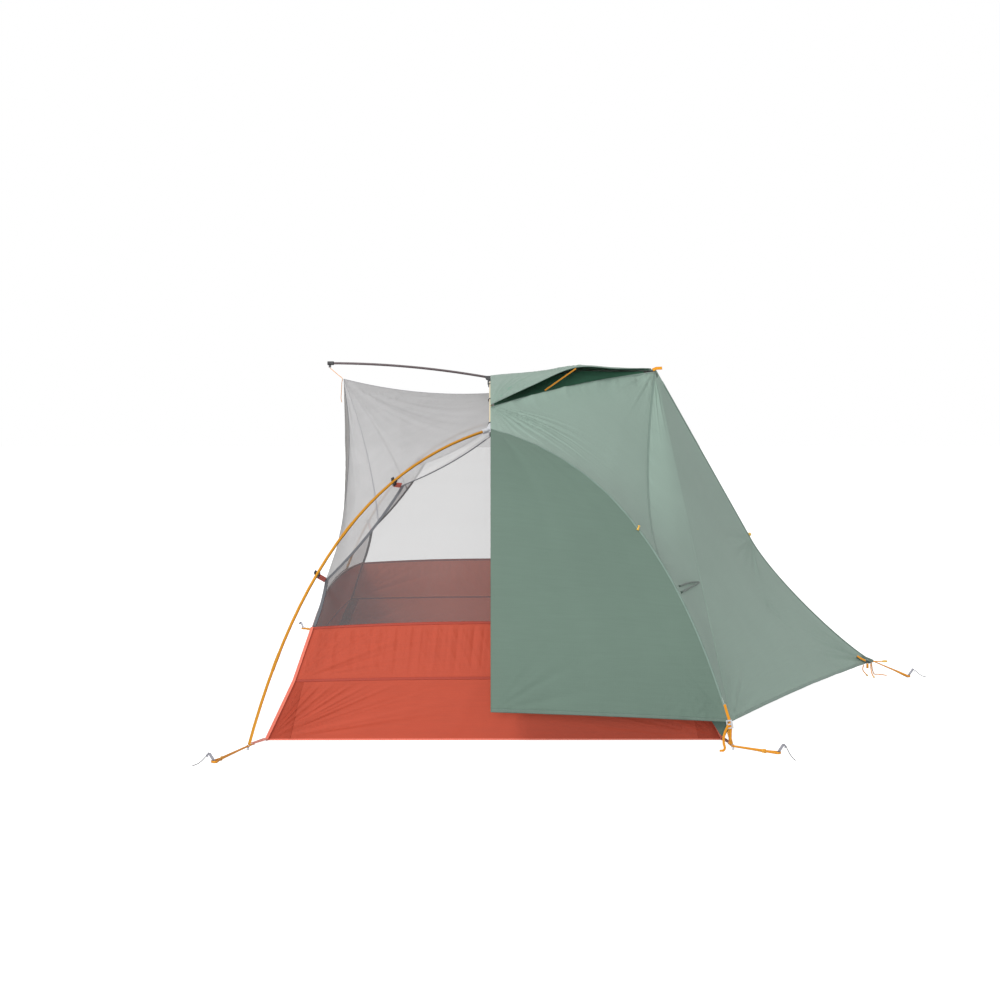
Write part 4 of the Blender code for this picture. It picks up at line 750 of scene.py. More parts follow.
def ladder(name, centre, along, across, size, radius, material, slot):
    """A small adjuster for a strap: a rounded frame with a bar across it."""
    along, across = Vector(along).normalized(), Vector(across).normalized()
    long, wide = size
    corners = []
    for quarter, (sx, sy) in enumerate(((1, 1), (-1, 1), (-1, -1), (1, -1))):
        for k in range(5):
            a = math.radians(45 + 90 * quarter - 36 + 18 * k)
            corners.append(centre + along * (sx * (long / 2 - radius * 2) + radius * 2 * math.cos(a))
                           + across * (sy * (wide / 2 - radius * 2) + radius * 2 * math.sin(a)))
    tube(name, corners, radius, material, slot=slot, closed=True)
    tube(f"{name}_bar", [centre - across * (wide / 2 - radius), centre, centre + across * (wide / 2 - radius)],
         radius * 0.9, material, slot=slot)


def stake_loop(name, neck, ring, height):
    """Webbing on its edge, from its neck round a stake and back."""
    radius = LOOP_RADIUS
    back = level(neck - ring)
    side = Vector((-back.y, back.x, 0.0))
    start = math.acos(min(1.0, radius / Vector((neck.x - ring.x, neck.y - ring.y, 0)).length))
    turn = [lerp(start, 2 * math.pi - start, k / 22) for k in range(23)]
    bend = [ring + back * (math.cos(a) * radius) + side * (math.sin(a) * radius) for a in turn]
    points = spaced([neck + side * 0.0009] + bend + [neck - side * 0.0009], 0.005)
    middle = lerp(neck, ring, 0.5)
    outs = []
    for k, p in enumerate(points):
        near = ring if (p - ring).length < radius * 1.2 else middle
        out = p - near
        out = side * (1 if out.dot(side) > 0 else -1) if near is middle else Vector((out.x, out.y, 0))
        outs.append(out.normalized())
    strip(name, points, outs, height, 0.0012, ORANGE)


# ---- Cords

tip_points = [
    (-0.54324, 0.0, 1.0676), (-0.52798, 0.0, 1.05419), (-0.51322, 0.0, 1.04178), (-0.5015, 0.0, 1.0315),
    (-0.5042, 0.014, 1.018), (-0.5068, 0.038, 1.0), (-0.5095, 0.058, 0.982), (-0.512, 0.073, 0.966),
    (-0.510, 0.083, 0.951),
]


def routed(points, count):
    """Places along a smooth route, and their length."""
    route = smooth(points)
    run = [route(k / count) for k in range(count + 1)]
    return run, sum((b - a).length for a, b in zip(run, run[1:]))


def cord(name, points, count, radius, nodes_of, body, material, slot, **facts):
    run, long = routed(points, count)
    thing = tube(name, run, radius, material, body, slot, *nodes_of)


cord("tip_cord", tip_points, 30, 0.0010, ["tip_cord_left"], "tent", CORD_ORANGE, "webbing",
     far_end="bare", lay="hanging")


STAKE_LEAN = math.radians(35.0)
STAKE_ABOVE, STAKE_SECTION, STAKE_WALL, STAKE_HOOK = 0.036, 0.0085, 0.0014, 0.0105
CORD_REST, RUNNING_GAP = 0.00032, 0.0003


def stake_axis(x, y):
    """The stake leans away from the tent."""
    away = Vector((x, y * 0.55, 0.0)).normalized()
    return (away * math.sin(STAKE_LEAN) + Vector((0, 0, math.cos(STAKE_LEAN)))).normalized()


def pull_route(x, y, end):
    """A cord from a stake's head to its end on the ground."""
    up = stake_axis(x, y)
    away = Vector((up.x, up.y, 0.0)).normalized()
    front = (away - up * away.dot(up)).normalized()
    depth = STAKE_SECTION * 0.55 + STAKE_WALL * 1.3
    head = Vector((x, y, 0.0)) + up * (STAKE_ABOVE - STAKE_WALL * 0.8) + front * (
        STAKE_HOOK - depth * 0.2 + CORD_REST + RUNNING_GAP)
    end = Vector((*end, 0.0016))
    return [head] + [lerp(head, end, t) + Vector((0.0, 0.0, -sag)) for t, sag in
                     ((0.12, 0.0012), (0.35, 0.0042), (0.60, 0.0046), (0.82, 0.0024))] + [end]


STAKES = {"front_left": (-0.731, -1.447), "front_right": (0.780, -1.328), "rear_left": (-0.780, 1.447),
          "rear_right": (0.780, 1.328), "vestibule": (1.443, 0.080)}
for label, end in (("front_left", (-0.7838, -1.4925)), ("front_right", (0.8128, -1.4264)),
                   ("vestibule", (1.5080, 0.0762))):
    cord(f"stake_cord_{label}", pull_route(*STAKES[label], end), 18, 0.0012, [f"pull_cord_{label}"],
         f"stake_{label}", CORD_GREY, "cord_grey", far_end="bare", lay="loose")

# ---- Tub

floor_corner, seam_corner, top_corner = (Vector(p) for p in (
    (0.635, -1.115, 0.0), (0.557, -1.095, 0.166), (0.508, -1.052, 0.314)))
HALF_TOP, DOOR_FOOT_Y = 1.052, 0.560
TUB_SIDE_BULGE, TUB_SIDE_RISE = 0.022, 0.031


def corner_at(point, sx, sy, shift):
    """A tub corner in its quarter. The front right one stands further out by shift."""
    return flip(point, sx, sy) + Vector((shift if (sx, sy) == (1, 1) else 0.0, 0.0, 0.0))


def floor_at(sx, sy):
    return corner_at(floor_corner, sx, sy, 0.0220)


def seam_at(sx, sy):
    return corner_at(seam_corner, sx, sy, 0.0200)


def tub_corner(sx, sy):
    a, b, c = floor_at(sx, sy), seam_at(sx, sy), flip(top_corner, sx, sy)
    return chain((arc(a, b), 0.5), (arc(b, c), 1.0))


def side_top(y):
    lift = 1 - (y / HALF_TOP) ** 2
    return Vector((0.508 + TUB_SIDE_BULGE * lift, y, 0.314 + TUB_SIDE_RISE * lift))


def side_top_edge(sx):
    def stretch(y0, y1):
        return lambda t: flip(side_top(lerp(y0, y1, t)), sx, 1)
    return chain((stretch(-HALF_TOP, -DOOR_FOOT_Y), 0.25), (stretch(-DOOR_FOOT_Y, DOOR_FOOT_Y), 0.75),
                 (stretch(DOOR_FOOT_Y, HALF_TOP), 1.0))


def wedge(sheet, low, high, top, side):
    """The directions of a patch along an upright edge: low wide at the bottom, high wide at top."""
    v = np.linspace(0.0, top, 74)[None, :] * np.ones((30, 1))
    u = np.linspace(0.0, 1.0, 30)[:, None] * (low + (high - low) * v / top)
    return (u if side < 0 else 1 - u), v


def dress_wall(name, wall, corners, seams, doubled):
    """Relief, seam tape, binding, hem and corner patches of a wall of the tub."""
    upper, lower = window(wall.v, 0.5, 1.0, 0.10), window(wall.v, 0.0, 0.5, 0.12)
    slant = wall.s / 0.021 + wall.v * 3.2
    hang = 0.35 + 0.65 * np.clip((wall.v - 0.5) * 2, 0, 1)
    relief = 0.0019 * upper * hang * ripple(slant * math.pi, 4)
    relief = relief + 0.0011 * upper * ridged(wall.s / 0.052 + wall.v * 5, 9)
    relief = relief + 0.0013 * lower * ripple(wall.s / 0.12 * math.pi, 8)
    for corner, aim in corners:
        relief = relief + lower * fan(wall, corner, aim, 0.95, 7, 0.0048, 0.15, 2)
        relief = relief + lower * fan(wall, corner, aim, 0.90, 15, 0.0026, 0.13, 5)
    for corner, aim in seams:
        relief = relief + upper * fan(wall, corner, aim, 0.8, 6, 0.0036, 0.13, 6)
    relief = relief - crease(np.abs(wall.v - 0.5), 0.0, 0.010, 0.0014)
    wall.lift(relief * wall.held("LRBT", 0.016))
    cloth(f"{name}_cloth", [wall], TUB, f"tub_wall_{name[4:]}", slot="tub_nylon", rests=["tub_floor"])
    for part, edge, width, material, lift in (("seam", "M", 0.008, TUB_TAPE, 0.0005),
                                              ("binding", "T", 0.008, TUB_TAPE, 0.0005),
                                              ("hem", "B", 0.0045, TUB_EDGE, 0.0004)):
        tape(f"{name}_{part}", wall, edge, width, material, slot="tub_nylon", lift=lift, count=160)
    # The inside face of the wall gets the brighter colour of painted light, for light that comes through the nylon.
    patch_on(f"{name}_lining", wall, wall.u[1:-1, 1:-1], wall.v[1:-1, 1:-1], TUB_INSIDE_PAINTED_LIGHT, slot="tub_nylon",
             lift=-0.0012, thickness=0.0003)
    for part, edge, width in (("inner_seam", "M", 0.006), ("inner_binding", "T", 0.007)):
        tape(f"{name}_{part}", wall, edge, width, TUB_TAPE, slot="tub_nylon", lift=-0.0017, thickness=0.0006,
             count=120)
    for side in (-1, 1):
        where = "start" if side < 0 else "end"
        patch_on(f"{name}_doubled_{where}", wall, *wedge(wall, *doubled, 0.49, side), TUB_DOUBLE, slot="tub_nylon",
                 lift=0.0004, thickness=0.0003)
        patch_on(f"{name}_inner_doubled_{where}", wall, *wedge(wall, 0.036, 0.030, 0.49, side), TUB, slot="tub_nylon",
                 lift=-0.0015, thickness=0.0004)


for label, sy in ENDS:
    wall = Sheet(patch(
        arc(floor_at(-1, sy), floor_at(1, sy)),
        spanning(top_corner, sy, (0, 0, 0.016)),
        tub_corner(-1, sy), tub_corner(1, sy), 340 if sy > 0 else 180, 92), (0, -sy, 0.2))
    dress_wall(f"tub_{label}", wall,
               [(floor_at(sx, sy), (sx * 0.05, -sy * 1.1, 0.19)) for sx in (-1, 1)],
               [(seam_at(sx, sy), (sx * 0.1, -sy * 1.07, 0.33)) for sx in (-1, 1)], (0.053, 0.026))

for label, sx in SIDES:
    wall = Sheet(patch(arc(floor_at(sx, 1), floor_at(sx, -1)), side_top_edge(sx),
                       tub_corner(sx, 1), tub_corner(sx, -1), 260, 64), (sx, 0, 0.3))
    dress_wall(f"tub_{label}", wall, [(floor_at(sx, sy), (sx * 0.6, -sy * 0.5, 0.17)) for sy in (-1, 1)],
               [(seam_at(sx, sy), (sx * 0.52, -sy * 0.5, 0.33)) for sy in (-1, 1)], (0.030, 0.014))

# The piping's pale pink is partly painted highlight, for the brightly lit edge of the side wall.
for label, sx, sy in QUARTERS:
    run = line(tub_corner(sx, sy), 60)
    out = Vector((sx, -sy * 0.75, 0.35))
    strip(f"tub_piping_{label}", [Vector(p) for p in run], out, 0.0145, 0.0018, TUB_EDGE, "tent", "tub_nylon",
          crown=0.5)

floor_mark = (0.634, 1.114, 0.0006)
floor_sheet = Sheet(patch(
    spanning(floor_mark, -1), spanning(floor_mark, 1),
    *(arc(flip(floor_mark, sx, -1), flip(floor_mark, sx, 1)) for sx in (-1, 1)), 70, 110), (0, 0, 1))
floor_sheet.lift(np.abs(billow(floor_sheet, 7, 9, 0.0014, 2)) * floor_sheet.held("LRBT", 0.05))
cloth("tub_floor_cloth", [floor_sheet], TUB, "tub_floor", slot="tub_nylon", held="laid", thickness=0.0003)

# ---- Inner tent of mesh

lower_pull, upper_pull = Vector((0.4726, -1.03141, 0.447)), Vector((0.25972, -0.9004, 0.711))
apex = Vector((0.007, -0.742, 0.849))
ridge_middle = Vector((0.0, 0.0, 0.982))
inward = Vector((-0.6, 0.3, -0.7)).normalized()
trim = chain(
    (arc(top_corner, lower_pull, inward * 0.0048), 2 / 12), (arc(lower_pull, upper_pull, inward * 0.012), 8 / 12),
    (arc(upper_pull, apex, inward * 0.012), 1.0),
)


def canopy_corner(sx):
    return Vector((-0.497, 0.0, 1.030)) if sx < 0 else Vector((0.497, 0.0, 1.014))


def top_edge(sx):
    return arc(canopy_corner(sx), ridge_middle, (0, 0, -0.0195))


def ridge_edge(sy):
    return arc((0.0, apex.y * sy, apex.z), ridge_middle, (0, 0, 0.024))


def side_seam(sx, sy):
    return arc(flip(trim(0.5), sx, sy), canopy_corner(sx), (-sx * 0.016, 0, 0))


def door_front(sx):
    foot = flip(side_top(-DOOR_FOOT_Y), sx, 1)
    knee = foot + Vector((-0.062 * sx, 0.040, 0.246))
    shoulder = foot + Vector((-0.072 * sx, 0.205, 0.506 - (0.075 if sx > 0 else 0.0)))
    return smooth([foot, knee, shoulder, canopy_corner(sx)])


def door_rear(sx):
    return arc(flip(side_top(DOOR_FOOT_Y), sx, 1), canopy_corner(sx))


for label, sx, sy in QUARTERS:
    end_trim = mirrored(trim, sx, sy)
    seam = side_seam(sx, sy)
    door_edge = door_front(sx) if sy > 0 else door_rear(sx)
    foot_run = (lambda t, sx=sx, sy=sy: flip(side_top(lerp(-HALF_TOP, -DOOR_FOOT_Y, t) * sy), sx, 1))
    low_strip = Sheet(patch(foot_run, seam, part_of(end_trim, 0.0, 0.5), door_edge, 48, 64), (sx, -sy * 0.3, 0.3))
    roof = Sheet(patch(part_of(end_trim, 0.5, 1.0), top_edge(sx), seam,
                       chain((arc(flip(apex, sx, sy), ridge_edge(sy)(0.0)), 0.02), (ridge_edge(sy), 1.0)), 64, 56),
                 (sx * 0.3, -sy * 0.3, 1.0))
    low_strip.lift((billow(low_strip, 3, 4, 0.0022, 3) + fan(
        low_strip, canopy_corner(sx), (sx * 0.52, -sy * 0.8, 0.4), 0.5, 5, 0.005, 0.3, 4))
        * low_strip.held())
    roof.lift((billow(roof, 3, 3, 0.0025, 6) + fan(
        roof, canopy_corner(sx), (0.0, -sy * 0.5, 0.9), 0.7, 6, 0.006, 0.25, 7)
        + pucker(roof.u, roof.high, 18, 0.0014, 0.02, 3)) * roof.held())
    cloth(f"canopy_{label}_mesh", [low_strip, roof], MESH_SIDE, f"canopy_{label}", slot="mesh",
          rests=["ridge_pole"], thickness=0.0)
    for part, sheet, edge, width in (("top", roof, "T", 0.005), ("ridge", roof, "R", 0.005),
                                     ("side", low_strip, "T", 0.006)):
        tape(f"canopy_{label}_{part}_tape", sheet, edge, width, SEAM_TAPE, slot="mesh", lift=0.0004, thickness=0.0006)
    if sy > 0:
        tape(f"canopy_{label}_zip_tape", low_strip, "R", 0.0042, MESH_TAPE, slot="mesh", lift=0.0005,
             thickness=0.0008, inset=0.0015)

for label, sy in ENDS:
    end = Sheet(patch(
        spanning(top_corner, sy, (0, 0, 0.016)), spanning(apex, sy),
        mirrored(trim, -1, sy), mirrored(trim, 1, sy), 80, 96), (0, -sy, 0.3))
    relief = billow(end, 4, 3, 0.003, 5)
    for sx in (-1, 1):
        for at in (lower_pull, upper_pull):
            relief = relief + fan(end, flip(at, sx, sy), (0.0, -sy * 1.0, 0.45), 0.7, 4, 0.005, 0.12, 3)
    end.lift(relief * end.held("LRBT", 0.04))
    cloth(f"end_{label}_mesh", [end], MESH_END, f"canopy_end_{label}", slot="mesh",
          rests=[f"clip_lower_{label}_left", f"clip_lower_{label}_right"], thickness=0.0)
    for side, edge in (("left", "L"), ("right", "R")):
        tape(f"end_{label}_{side}_tape", end, edge,
             lambda k: np.where(k < 8 / 12, 0.0095, 0.0062), MESH_TAPE, slot="mesh", lift=0.0006, thickness=0.0009,
             span=(0.0, 0.985), count=120)

DOOR_SEAM_GAP = Vector((0.0, 0.0016, 0.0))

for label, sx in SIDES:
    front = door_front(sx)
    rear = arc(door_rear(sx)(0.0) - DOOR_SEAM_GAP, door_rear(sx)(1.0) - DOOR_SEAM_GAP)
    sill = (lambda t, sx=sx: flip(side_top(lerp(-DOOR_FOOT_Y, DOOR_FOOT_Y, t)), sx, 1))
    leaf = Sheet(patch(sill, arc(front(0.950), rear(0.950)), part_of(front, 0.0, 0.950), part_of(rear, 0.0, 0.950),
                       72, 64), (sx, 0, 0.2))
    leaf.lift((billow(leaf, 4, 3, 0.0030, 9) + fan(leaf, canopy_corner(sx), (sx * 0.53, 0.1, 0.34), 0.5, 4, 0.004,
                                                  0.3, 8, sharp=False)) * leaf.held("LRBT", 0.03))
    body = f"inner_door_{label}"
    cloth(f"door_{label}_mesh", [leaf], MESH_DOOR, body, body=body, slot="mesh", rests=[], thickness=0.0)
    tape(f"door_{label}_zip_tape", leaf, "L", 0.0042, MESH_TAPE, body, "mesh", lift=0.0005, thickness=0.0008,
         inset=0.0035)
    tape(f"door_{label}_sill_tape", leaf, "B", 0.0042, MESH_TAPE, body, "mesh", lift=0.0005, thickness=0.0008,
         inset=0.0035, span=(0.0, 0.985))

# Sleeves of webbing on the clips' tabs, and what hangs the canopy from the ridge and the hubs

for label, sx, sy in QUARTERS:
    for where, height, reach, clear in (("lower", 0.473, (0.0145, 0.086, 0.026), 0.0004),
                                        ("upper", 0.727, (0.019, 0.047, 0.016), 0.0034)):
        t = leg_at(height)
        seat, run = leg(t), leg_direction(t)
        pull = seat + Vector((-reach[0], reach[1], -reach[2]))
        toward = pull - seat
        toward = (toward - run * toward.dot(run)).normalized()
        start = seat + toward * 0.0171
        stop = pull - (pull - start).normalized() * clear
        face = run.cross(toward).normalized()
        ends = [lerp(start, stop, k / 8) for k in range(9)]
        ends = [flip(p - face * 0.0013, sx, sy) for p in ends]
        strip(f"clip_sleeve_{where}_{label}", ends, flip(face, sx, sy), 0.0144, 0.0026, RUST_TAB)

for label, sy in ENDS:
    collar = Vector((0.0, -0.683 * sy, ridge(0.683)))
    lathe(f"hub_collar_{label}", ring_profile(0.0062, 0.0017), collar, (0.0, -sy, -0.37), BLACK, slot="plastic_black")
    tube(f"apex_hook_{label}", [flip(p, 1, sy) for p in ((0.0, -0.7215, 0.8640), (0.0, -0.7275, 0.8600),
                                                         (0.0, -0.7350, 0.8550), (0.0, -0.7420, 0.8510))],
         0.0022, BLACK, slot="plastic_black")
    for k, y in enumerate((0.20, 0.46)):
        top = ridge(y)
        share = 1 - y / 0.742
        canopy = 0.849 + 0.133 * share + 0.096 * share * (1 - share)
        hook = [Vector((math.sin(a) * 0.0066, -y * sy, top + math.cos(a) * 0.0066))
                for a in np.linspace(math.radians(-125), math.radians(180), 22)]
        hook += [Vector((0.0, -y * sy, lerp(top - 0.0066, canopy, s))) for s in (0.3, 0.6, 1.0)]
        tube(f"ridge_hook_{label}_{k + 1}", hook, 0.0015, BLACK, slot="plastic_black")

# ---- Fly

FLY_LIFT_HUB, FLY_LIFT_LEG, FLY_FORWARD, FLY_APEX_FORWARD = 0.009, 0.022, 0.014, 0.036
leg_low, leg_notch = leg_at(0.079 - FLY_LIFT_LEG * 0.4), leg_at(0.504 - FLY_LIFT_LEG * 0.5)
fly_apex = Vector((0.0, -HUB_Y - FLY_APEX_FORWARD, HUB_HEIGHT + 0.001))


def leg_out(t):
    """Up and away from the leg, square to its run."""
    out = leg_direction(t).cross(leg_forward)
    return out if out.z > 0 else -out


def fly_arch(t):
    """The seam over the right front leg: apex at 0, notch at a half, hem corner at 1."""
    at = lerp(1.0, leg_notch, t * 2) if t < 0.5 else lerp(leg_notch, leg_low, t * 2 - 1)
    point = leg(at) + leg_out(at) * lerp(FLY_LIFT_HUB, FLY_LIFT_LEG, min(t * 3.0, 1.0)) + leg_forward * FLY_FORWARD
    if t < 0.5:
        start = leg(1.0) + leg_out(1.0) * FLY_LIFT_HUB + leg_forward * FLY_FORWARD
        point += (fly_apex - start) * (1 - 2 * t) ** 3
    return point


fly_corner, fly_notch = fly_arch(1.0), fly_arch(0.5)
fly_tip = Vector((0.560, 0.0, 1.062))
vent_corner = Vector((0.0, -0.568, 0.93814))
vestibule_end = Vector((1.303, 0.0, 0.069))
knee = Vector((0.887, 0.0, 0.486))
ridge_aim = (fly_tip - knee).normalized()
ground_ridge = chain(
    (bezier(vestibule_end, vestibule_end + Vector((-0.867, 0.0, 0.498)) * 0.12, knee - ridge_aim * 0.15, knee), 0.5),
    (arc(knee, fly_tip), 1.0))


def over_spreader(t):
    x = lerp(0.0, SPREADER_SPAN + TIP_CAP_LENGTH * 0.3, t)
    return Vector((x, 0.0, spreader_height(x) + lerp(0.0080, 0.0105, t)))


def ridge_profile(top, rear=False):
    shoulder = Vector((0.0, -HUB_Y + 0.012, HUB_HEIGHT + 0.0085 + 0.013))
    if not rear:
        return smooth([fly_apex, shoulder, top])
    middle = Vector((0.0, -HUB_Y * 0.5, ridge(HUB_Y * 0.5) + 0.0143))
    upper = Vector((0.0, -HUB_Y * 0.72, ridge(HUB_Y * 0.72) + 0.0123))
    return chain((smooth([fly_apex, shoulder, upper]), 0.4), (smooth([upper, middle, top]), 1.0))


tip_front, seam_top = Vector((0.550, -0.012, 1.058)), Vector((0.554, -0.014, 1.054))
hinge_top, hinge_low = Vector((0.560, -0.010, 1.046)), Vector((0.66024, -1.26948, 0.07776))


def tip_seam(sy):
    return arc(flip(fly_notch, 1, sy), fly_tip if sy < 0 else seam_top, (-0.030, 0.0, -0.082))


hem_front = arc((0.0, -1.240, 0.100), fly_corner, (0, 0, 0.002))


def end_middle(t):
    edge, low = fly_arch(1.0 - t), hem_front(0.0)
    y = lerp(low.y - fly_corner.y, 0.0, t) + edge.y + 0.010 * 4 * t * (1 - t)
    z = lerp(low.z - fly_corner.z, 0.0, t) + edge.z
    return Vector((0.0, min(y, fly_apex.y), z))


for label, sy in ENDS:
    end = Sheet(patch(
        mirrored(hem_front, 1, sy), mirrored(arc(end_middle(0.995), fly_arch(0.005)), 1, sy),
        mirrored(part_of(end_middle, 0.0, 0.995), 1, sy),
        mirrored(part_of(reversed_curve(fly_arch), 0.0, 0.995), 1, sy), 110, 150), (0, -sy, 0.3))
    relief = billow(end, 3, 2, 0.0035, 4) * end.held("LRBT", 0.08)
    corner = flip(fly_corner, 1, sy)
    relief = relief + fan(end, corner, (0.30, -sy * 1.2, 0.20), 0.8, 7, 0.0068, 0.075, 3) \
        * end.held("R", 0.008)
    relief = relief + fan(end, (0.0, -sy * 1.24, 0.10), (0.35, -sy * 1.2, 0.20), 0.7, 5, 0.0032, 0.10, 8,
                          sharp=False) * end.held("L", 0.01)
    relief = relief + crease(end.low, 0.014, 0.006, 0.0016) * (0.6 + 0.4 * ripple(end.u * 9 * math.pi, 6)) \
        * end.held("R", 0.03)
    relief = relief + 0.0024 * ripple(end.u * 8 * math.pi, 2) * np.exp(-end.low / 0.05) * end.held("R", 0.04)
    relief = relief + pucker(end.v, end.right, 30, 0.0022, 0.022, 8) * end.held("R", 0.005)
    end.lift(relief)
    cloth(f"fly_end_{label}_cloth", [end], FLY_END_SHADED, f"fly_end_{label}", slot="fly_end_nylon", held="stretched",
          rests=[f"fly_strap_{label}", f"leg_{label}_right"])
    tape(f"fly_end_{label}_arch_tape", end, "R", 0.0048, FLY_TAPE, slot="fly_nylon", lift=0.0006, count=150)
    tape(f"fly_end_{label}_hem", end, "B", 0.0105, FLY_HEM, slot="fly_end_nylon", lift=0.0005, count=150)

vent_lip = arc(vent_corner, tip_front, (0, 0, 0.013))
side_front = Sheet(patch(part_of(fly_arch, 0.0, 0.5), vent_lip, ridge_profile(vent_corner), tip_seam(1), 120, 130),
                   (0.4, -0.6, 1.0))


def gusset_low(t):
    return fly_arch(lerp(0.5, 1.0, t)) + (hinge_low - fly_corner) * t ** 14


gusset = Sheet(patch(gusset_low, arc(seam_top, hinge_top), tip_seam(1), arc(hinge_low, hinge_top),
                     90, 130), (0.8, -0.6, 0.6))
side_front.lift((billow(side_front, 3, 2, 0.0030, 2)
                 + fan(side_front, vent_corner, (0.25, -0.72, 0.8), 0.9, 9, 0.0072, 0.12, 5)
                 + fan(side_front, tip_front, (0.3, -0.5, 0.9), 0.9, 7, 0.0058, 0.10, 2)
                 + fan(side_front, fly_notch, (0.42, -0.7, 0.75), 0.9, 6, 0.0060, 0.05, 6)
                 + pucker(side_front.u, side_front.low, 26, 0.0026, 0.026, 4)
                 + pucker(side_front.u + 0.35 * side_front.v, side_front.high, 11, 0.0050, 0.045, 6)
                 + crease(side_front.high, 0.016, 0.030, 0.0065) * window(side_front.u, 0.05, 0.9, 0.25))
                * side_front.held("LRBT", 0.014))
gusset.lift((billow(gusset, 1, 3, 0.0030, 7)
             + fan(gusset, seam_top, (0.56, -0.5, 0.7), 0.6, 6, 0.0056, 0.10, 4)
             + fan(gusset, fly_notch, (0.60, -0.7, 0.55), 0.8, 5, 0.0046, 0.05, 2)
             + pucker(gusset.v, gusset.left, 22, 0.0022, 0.02, 5)) * gusset.held("LRBT", 0.014))
cloth("fly_side_front_cloth", [side_front, gusset], FLY, "fly_side_front", rests=["ridge_pole", "leg_front_right"])
tape("fly_side_arch_tape", side_front, "B", 0.0042, FLY_TAPE, lift=0.0006, count=140)
tape("fly_gusset_arch_tape", gusset, "B", 0.0042, FLY_TAPE, lift=0.0006, span=(0.0, 0.965), count=90)
tape("fly_tip_seam_front", side_front, "R", 0.0040, FLY_TAPE, lift=0.0007, count=140)
tape("fly_tip_seam_side", gusset, "L", 0.0040, FLY_TAPE, lift=0.0007, count=140)
tape("vent_lip_hem", side_front, "T", 0.0085, FLY_TAPE, lift=0.0005, count=120)

over = chain((over_spreader, 0.97), (arc(over_spreader(1.0), fly_tip), 1.0))
side_rear = Sheet(patch(
    mirrored(part_of(fly_arch, 0.0, 0.5), 1, -1), over,
    mirrored(ridge_profile(Vector((0.0, 0.0, 1.042)), True), 1, -1), tip_seam(-1), 90, 90), (0.4, 0.6, 1.0))
side_rear.lift((billow(side_rear, 3, 3, 0.0030, 6)
                + fan(side_rear, fly_tip, (0.3, 0.5, 0.9), 0.9, 6, 0.0056, 0.12, 3)
                + pucker(side_rear.u, side_rear.low, 24, 0.0024, 0.026, 7)) * side_rear.held("LRBT", 0.02))
cloth("fly_side_rear_cloth", [side_rear], FLY, "fly_side_rear", rests=["ridge_pole", "spreader_pole"])
tape("fly_rear_arch_tape", side_rear, "B", 0.0042, FLY_TAPE, lift=0.0006, count=140)
tape("fly_rear_tip_seam", side_rear, "R", 0.0040, FLY_TAPE, lift=0.0006, count=140)

hem_side = arc(fly_corner, vestibule_end, (0, 0, 0.008))
rear_panel = Sheet(patch(
    mirrored(hem_side, 1, -1), tip_seam(-1), mirrored(reversed_curve(part_of(fly_arch, 0.5, 1.0)), 1, -1),
    ground_ridge, 110, 110), (0.8, 0.8, 0.5))
rear_panel.lift((billow(rear_panel, 3, 3, 0.0040, 3)
                 + fan(rear_panel, vestibule_end, (0.9, 0.5, 0.3), 0.6, 6, 0.0062, 0.16, 4)
                 + fan(rear_panel, flip(fly_corner, 1, -1), (0.8, 0.9, 0.3), 0.7, 5, 0.0052, 0.10, 5))
                * rear_panel.held("LRBT", 0.02))
cloth("vestibule_rear_cloth", [rear_panel], FLY, "vestibule_rear", rests=["vestibule_strap"])
tape("vestibule_rear_hem", rear_panel, "B", 0.0105, FLY_TAPE, lift=0.0006, count=140)
tape("vestibule_rear_arch_tape", rear_panel, "L", 0.0042, FLY_TAPE, lift=0.0006, count=120)

leaf_side = Vector((0.0, -0.0012, 0.0))
leaf_ridge = (lambda t: ground_ridge(t) + leaf_side)
hinge_line = arc(hinge_low, hinge_top)
door_leaf = Sheet(patch(
    arc(hinge_low, vestibule_end + leaf_side, (0, 0, 0.008)), arc(hinge_line(0.985), leaf_ridge(0.985)),
    part_of(hinge_line, 0.0, 0.985), part_of(leaf_ridge, 0.0, 0.985), 140, 160), (0.8, -0.8, 0.5))
door_leaf.lift((
    billow(door_leaf, 2, 2, 0.0030, 8)
    + fan(door_leaf, vestibule_end, (0.85, -0.6, 0.25), 0.6, 7, 0.0072, 0.14, 4)
    + fan(door_leaf, knee, (0.75, -0.55, 0.40), 0.6, 4, 0.0050, 0.14, 1)
    + fan(door_leaf, (0.92, -0.42, 0.345), (1.10, -0.22, 0.22), 0.9, 4, 0.0062, 0.07, 3)
    + fan(door_leaf, hinge_low, (0.8, -0.9, 0.25), 0.5, 5, 0.0044, 0.12, 6)) * door_leaf.held("LRT", 0.014)
    + 0.0016 * ripple(door_leaf.u * 12 * math.pi, 5) * np.exp(-door_leaf.low / 0.03) * door_leaf.held("LR", 0.03)
    + crease(door_leaf.low, 0.014, 0.004, 0.0012) * door_leaf.held("LR", 0.03))
cloth("vestibule_door_cloth", [door_leaf], FLY, "vestibule_door", body="vestibule_door", rests=[])
for part, edge, width, material, lift, inset, span in (
        ("hem", "B", 0.0125, FLY_TAPE, 0.0006, 0.0, (0.028, 1.0)),
        ("flap_line", "R", 0.0032, FLY_EDGE, 0.0006, 0.009, (0.0, 0.97)),
        ("edge", "R", 0.0022, FLY_TAPE, 0.0007, 0.0, (0.0, 0.98))):
    tape(f"vestibule_door_{part}", door_leaf, edge, width, material, "vestibule_door", lift=lift, inset=inset,
         span=span, count=160)

